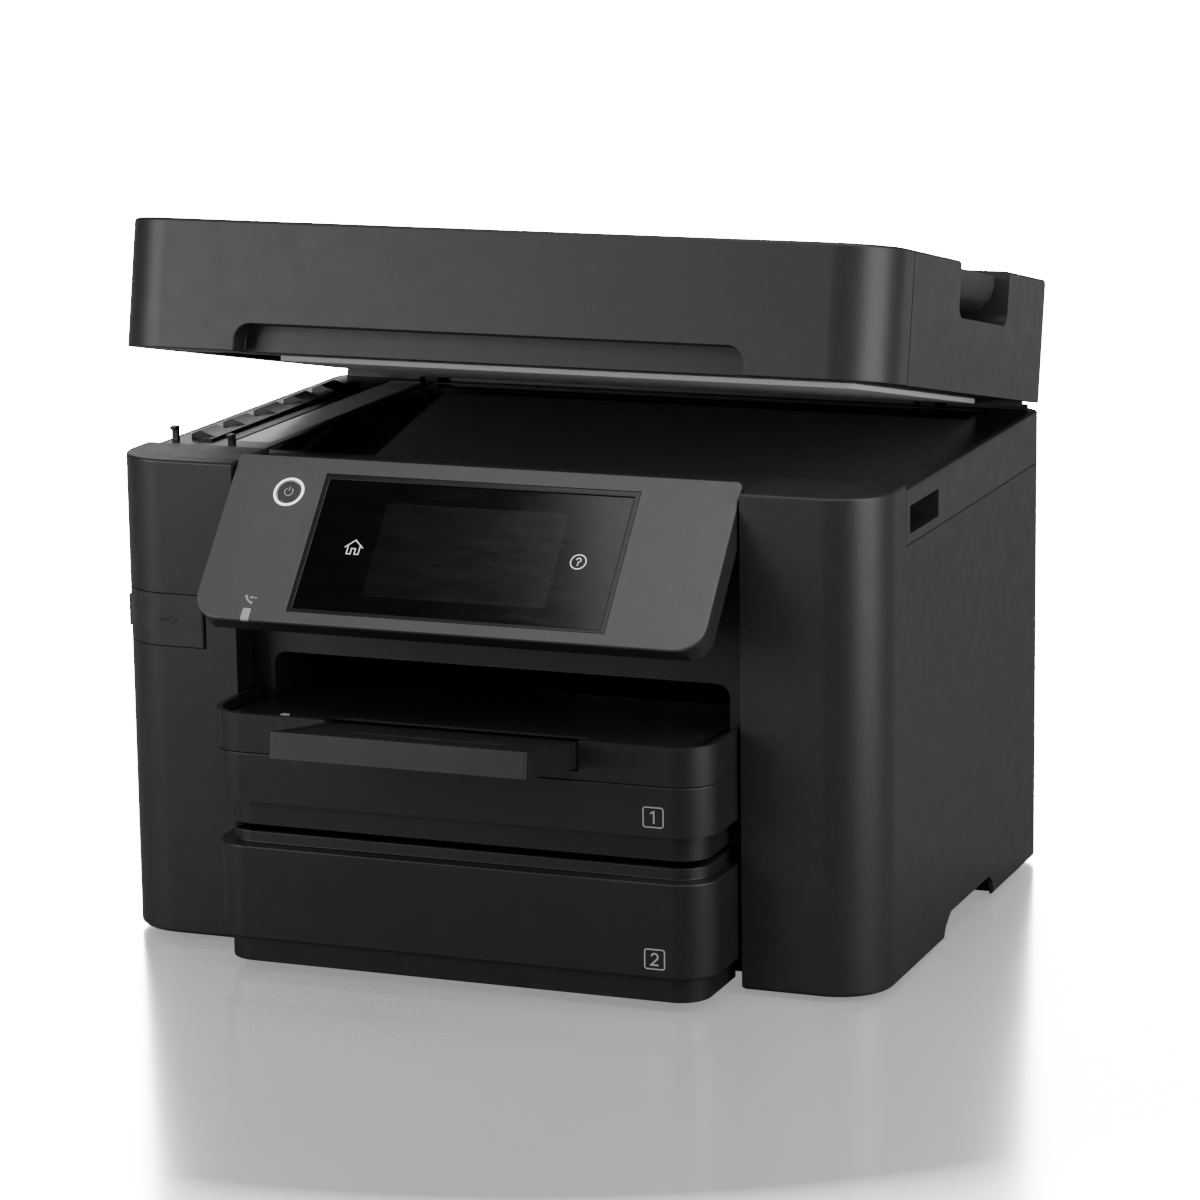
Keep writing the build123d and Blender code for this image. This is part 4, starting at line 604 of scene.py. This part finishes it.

# nested grooves moulded into the tops of the two columns, drawn as black lines of painted shade, in millimetres
COLUMN_CORNER = 30        # radius of a column's front corner
LINE_INSETS = (6.0, 10.5)
LINE_FROM = 143           # where a line starts, measured sideways from the middle
LINE_BACK = 46            # where it ends, measured back from the front
LINE_WIDTH = 0.5
HALF_WIDTH = -HOUSING_LOW.x / MM
FRONT_MM = HOUSING_LOW.y / MM
for side, name in ((-1, "left"), (1, "right")):
    for step, inset in enumerate(LINE_INSETS):
        middle = (side * (HALF_WIDTH - COLUMN_CORNER), FRONT_MM + COLUMN_CORNER)
        bend = arc(middle, COLUMN_CORNER - inset, 270, 270 + side * 90, 12)
        start = (side * LINE_FROM, FRONT_MM + inset)
        end = (side * (HALF_WIDTH - inset), FRONT_MM + LINE_BACK)
        line_name = f"{name}_column_groove_shade_{step + 1}"
        groove_shade_line(line_name, [start] + bend + [end], HOUSING_HIGH.z + PROUD, LINE_WIDTH, "base")

# small latches and rubber bumpers on the underside of the document cover, drawn with the cover shut
COVER_LOW = resting_box("lid_front_cover", COVER)[0]
UNDERSIDE = COVER_LOW.z + 0.0004
UNDERSIDE_HEIGHT = 0.0026


def under_cover(name, x, depth, width, length, material, rounding):
    """A block below the cover, depth metres behind the cover's front."""
    low = Vector((x, COVER_LOW.y + depth, UNDERSIDE))
    size = Vector((width, length, UNDERSIDE_HEIGHT))
    block(name, low, low + size, material, "document_cover", COVER, rounding)


for i, x in enumerate((-0.156, -0.149)):
    under_cover(f"cover_latch_{i + 1}", x, 0.010, 0.0045, 0.006, LATCH_AND_SHADE_BLACK, 0.0006)
for i, x in enumerate((0.152, 0.186)):
    under_cover(f"cover_bumper_{i + 1}", x, 0.030, 0.009, 0.008, MATERIALS["rubber"], 0.0008)

# near-black baffle of painted shade along the rear of the scanner unit, behind the scanning bar, that also blocks
# stray light
GLASS_LOW, GLASS_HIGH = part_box("scanner_glass")
BAFFLE_OVERHANG = 0.020
HOUSING_FLOOR = 0.0027    # just above the top of the scanner housing's floor
block(
    "rear_shade_baffle",
    (GLASS_LOW.x - BAFFLE_OVERHANG, GLASS_HIGH.y + 0.0005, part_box("scanner_housing")[0].z + HOUSING_FLOOR),
    (GLASS_HIGH.x + BAFFLE_OVERHANG, GLASS_HIGH.y + 0.0020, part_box("scanner_deck")[0].z - 0.0003),
    LATCH_AND_SHADE_BLACK,
    "scanner_unit",
)

# near-black fillers of painted shade that carry the deck's rear sill up to the hinge bases, in millimetres
FILLER_SPANS = ((140.5, 145.9), (154.1, 159.5))
FILLER_FRONT = 2.7
FILLER_REAR = 0.1
FILLER_HEIGHT = 2.8
HINGE_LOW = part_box("hinge_bases")[0]
sill_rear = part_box("scanner_deck")[1].y
for side, name in ((-1, "left"), (1, "right")):
    for part, (inner, outer) in enumerate(FILLER_SPANS):
        edges = sorted((side * inner * MM, side * outer * MM))
        block(
            f"{name}_hinge_shade_filler_{part + 1}",
            (edges[0], sill_rear - FILLER_FRONT * MM, HINGE_LOW.z),
            (edges[1], sill_rear - FILLER_REAR * MM, HINGE_LOW.z + FILLER_HEIGHT * MM),
            LATCH_AND_SHADE_BLACK,
            "scanner_unit",
        )

# pale sensor window on the rim of the upper cassette, pale grey and lit up further by a painted glow of its
# material
RIM_LOW, RIM_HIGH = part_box("cassette_1_cover")
WINDOW_LEFT, WINDOW_RIGHT = -0.0965, -0.0925
block(
    "rim_window",
    (WINDOW_LEFT, RIM_LOW.y + 0.0045, RIM_HIGH.z - 0.0012),
    (WINDOW_RIGHT, RIM_LOW.y + 0.0075, RIM_HIGH.z + PROUD),
    FAX_GREY,
    "cassette_1",
)


# ---------------------------------------------------------------- camera, light and floor
CAMERA_TURN = math.radians(21.188)      # round to the right from straight in front
CAMERA_RISE = math.radians(12.155)
CAMERA_ROLL = math.radians(-0.755)
CAMERA_AIM = Vector((0.006947, 0.040, 0.166751))
CAMERA_AWAY = 2.423354
CAMERA_LENS = 133.66
WHITE = (1, 1, 1, 1)
BACKDROP = 20.0           # brightness of the white behind the printer, as the camera sees it
SURROUND = 0.05           # brightness of the room around the lamps
FLOOR_GREY = (0.85, 0.85, 0.86)
FLOOR_NEAR = 0.3          # glow of the floor under the printer's mirror image, kept low as painted shade around the printer
FLOOR_MIRROR = 0.85       # share of the floor's light that is a mirror image
FLOOR_AS_LIGHT = (0.12, 0.12, 0.12)     # the floor's colour for every ray but the camera's
FLOOR_ROUGH = 0.15
FLOOR_RADIUS = 14
FADE_FROM = 0.45          # distances from the origin between which the floor turns from painted shade to white
FADE_TO = 1.0


def aim_camera():
    """Camera at the viewing angle of a product picture: from the right, a little above."""
    level = Vector((math.sin(CAMERA_TURN), -math.cos(CAMERA_TURN), 0))
    back = level * math.cos(CAMERA_RISE) + Vector((0, 0, math.sin(CAMERA_RISE)))
    right = Vector((math.cos(CAMERA_TURN), math.sin(CAMERA_TURN), 0))
    up = back.cross(right)
    tilted_right = math.cos(CAMERA_ROLL) * right + math.sin(CAMERA_ROLL) * up
    tilted_up = math.cos(CAMERA_ROLL) * up - math.sin(CAMERA_ROLL) * right
    data = bpy.data.cameras.new("camera")
    data.sensor_width = 36
    data.lens = CAMERA_LENS
    data.clip_end = 50
    camera = bpy.data.objects.new("camera", data)
    bpy.context.scene.collection.objects.link(camera)
    turn = Matrix((tilted_right, tilted_up, back)).transposed()
    camera.matrix_world = Matrix.Translation(CAMERA_AIM + back * CAMERA_AWAY) @ turn.to_4x4()
    bpy.context.scene.camera = camera


def soft_light(name, place, target, width, height, power):
    """A white area lamp, hidden from the camera and turned towards a point."""
    data = bpy.data.lights.new(name, "AREA")
    data.shape = "RECTANGLE"
    data.size = width
    data.size_y = height
    data.energy = power
    light = bpy.data.objects.new(name, data)
    bpy.context.scene.collection.objects.link(light)
    light.location = place
    light.visible_camera = False
    light.rotation_euler = (Vector(target) - Vector(place)).to_track_quat("-Z", "Y").to_euler()
    return light


def studio_floor():
    """Pale glossy floor that mirrors the printer; its glow, low under the printer as painted shade, fades to white
    away from it.
    """
    bm = bmesh.new()
    bmesh.ops.create_circle(bm, cap_ends=True, cap_tris=False, segments=96, radius=FLOOR_RADIUS)
    mesh = bpy.data.meshes.new("studio_floor")
    bm.to_mesh(mesh)
    bm.free()
    floor = bpy.data.objects.new("studio_floor", mesh)
    bpy.context.scene.collection.objects.link(floor)
    s = Surface("floor", FLOOR_GREY, 0.1)
    length = s.tree.nodes.new("ShaderNodeVectorMath")
    length.operation = "LENGTH"
    s.link(s.place, length.inputs[0])
    glow_with_painted_shade = s.ranged(length.outputs["Value"], FADE_FROM, FADE_TO, FLOOR_NEAR, BACKDROP)
    s.shader.inputs["Emission Color"].default_value = WHITE
    camera_ray = s.tree.nodes.new("ShaderNodeLightPath").outputs["Is Camera Ray"]
    seen = s.tree.nodes.new("ShaderNodeMath")
    seen.operation = "MULTIPLY"
    s.link(glow_with_painted_shade, seen.inputs[0])
    s.link(camera_ray, seen.inputs[1])
    s.set("Emission Strength", seen.outputs["Value"])
    s.set("Metallic", s.ranged(camera_ray, 0.0, 1.0, 0.0, FLOOR_MIRROR))
    s.set("Specular IOR Level", s.ranged(camera_ray, 0.0, 1.0, 0.0, 0.5))
    s.set("Base Color", s.blend(camera_ray, FLOOR_AS_LIGHT, FLOOR_GREY))
    s.set("Roughness", s.ranged(s.noise(0.3, 2), 0.3, 0.7, FLOOR_ROUGH, FLOOR_ROUGH + 0.02))
    mesh.materials.append(s.material)
    return floor


def studio_world():
    """A world that is white to the camera and nearly dark to everything else."""
    world = bpy.data.worlds.new("studio")
    world.use_nodes = True
    tree = world.node_tree
    lit = tree.nodes["Background"]
    lit.inputs["Color"].default_value = WHITE
    lit.inputs["Strength"].default_value = SURROUND
    seen = tree.nodes.new("ShaderNodeBackground")
    seen.inputs["Color"].default_value = WHITE
    seen.inputs["Strength"].default_value = BACKDROP
    path = tree.nodes.new("ShaderNodeLightPath")
    choose = tree.nodes.new("ShaderNodeMixShader")
    tree.links.new(path.outputs["Is Camera Ray"], choose.inputs[0])
    tree.links.new(lit.outputs[0], choose.inputs[1])
    tree.links.new(seen.outputs[0], choose.inputs[2])
    tree.links.new(choose.outputs[0], tree.nodes["World Output"].inputs["Surface"])
    bpy.context.scene.world = world


aim_camera()
floor = studio_floor()
studio_world()
soft_light("ceiling_box", (0.50, -0.75, 1.75), (0.50, -0.75, 0), 2.1, 1.5, 24)
soft_light("right_box", (1.06, -0.32, 0.45), (0.2, -0.1, 0.35), 0.8, 0.9, 9.5)
soft_light("left_box", (-1.52, -1.60, 0.75), (-0.2, -0.1, 0.3), 1.45, 1.4, 28)
soft_light("front_fill", (-0.7, -2.0, 0.35), (0, -0.1, 0.2), 1.6, 0.7, 1.6)
soft_light("rear_card", (0.9, 2.2, 0.75), (0.2, 0, 0.2), 3.0, 1.5, 2)
soft_light("rear_left_card", (-1.3, 1.9, 0.9), (-0.2, 0, 0.25), 1.6, 1.0, 6)

# white wall that only the floor mirrors, so that the floor is white around the printer's image
floor_only = bpy.data.collections.new("floor_only")
floor_only.objects.link(floor)
WALL_WIDTH, WALL_HEIGHT = 7.0, 2.6
wall_power = WALL_WIDTH * WALL_HEIGHT * math.pi * BACKDROP
wall = soft_light("mirror_wall", (-1.5, 3.6, 1.2), (-0.2, 0.0, 0.0), WALL_WIDTH, WALL_HEIGHT, wall_power)
wall.light_linking.receiver_collection = floor_only
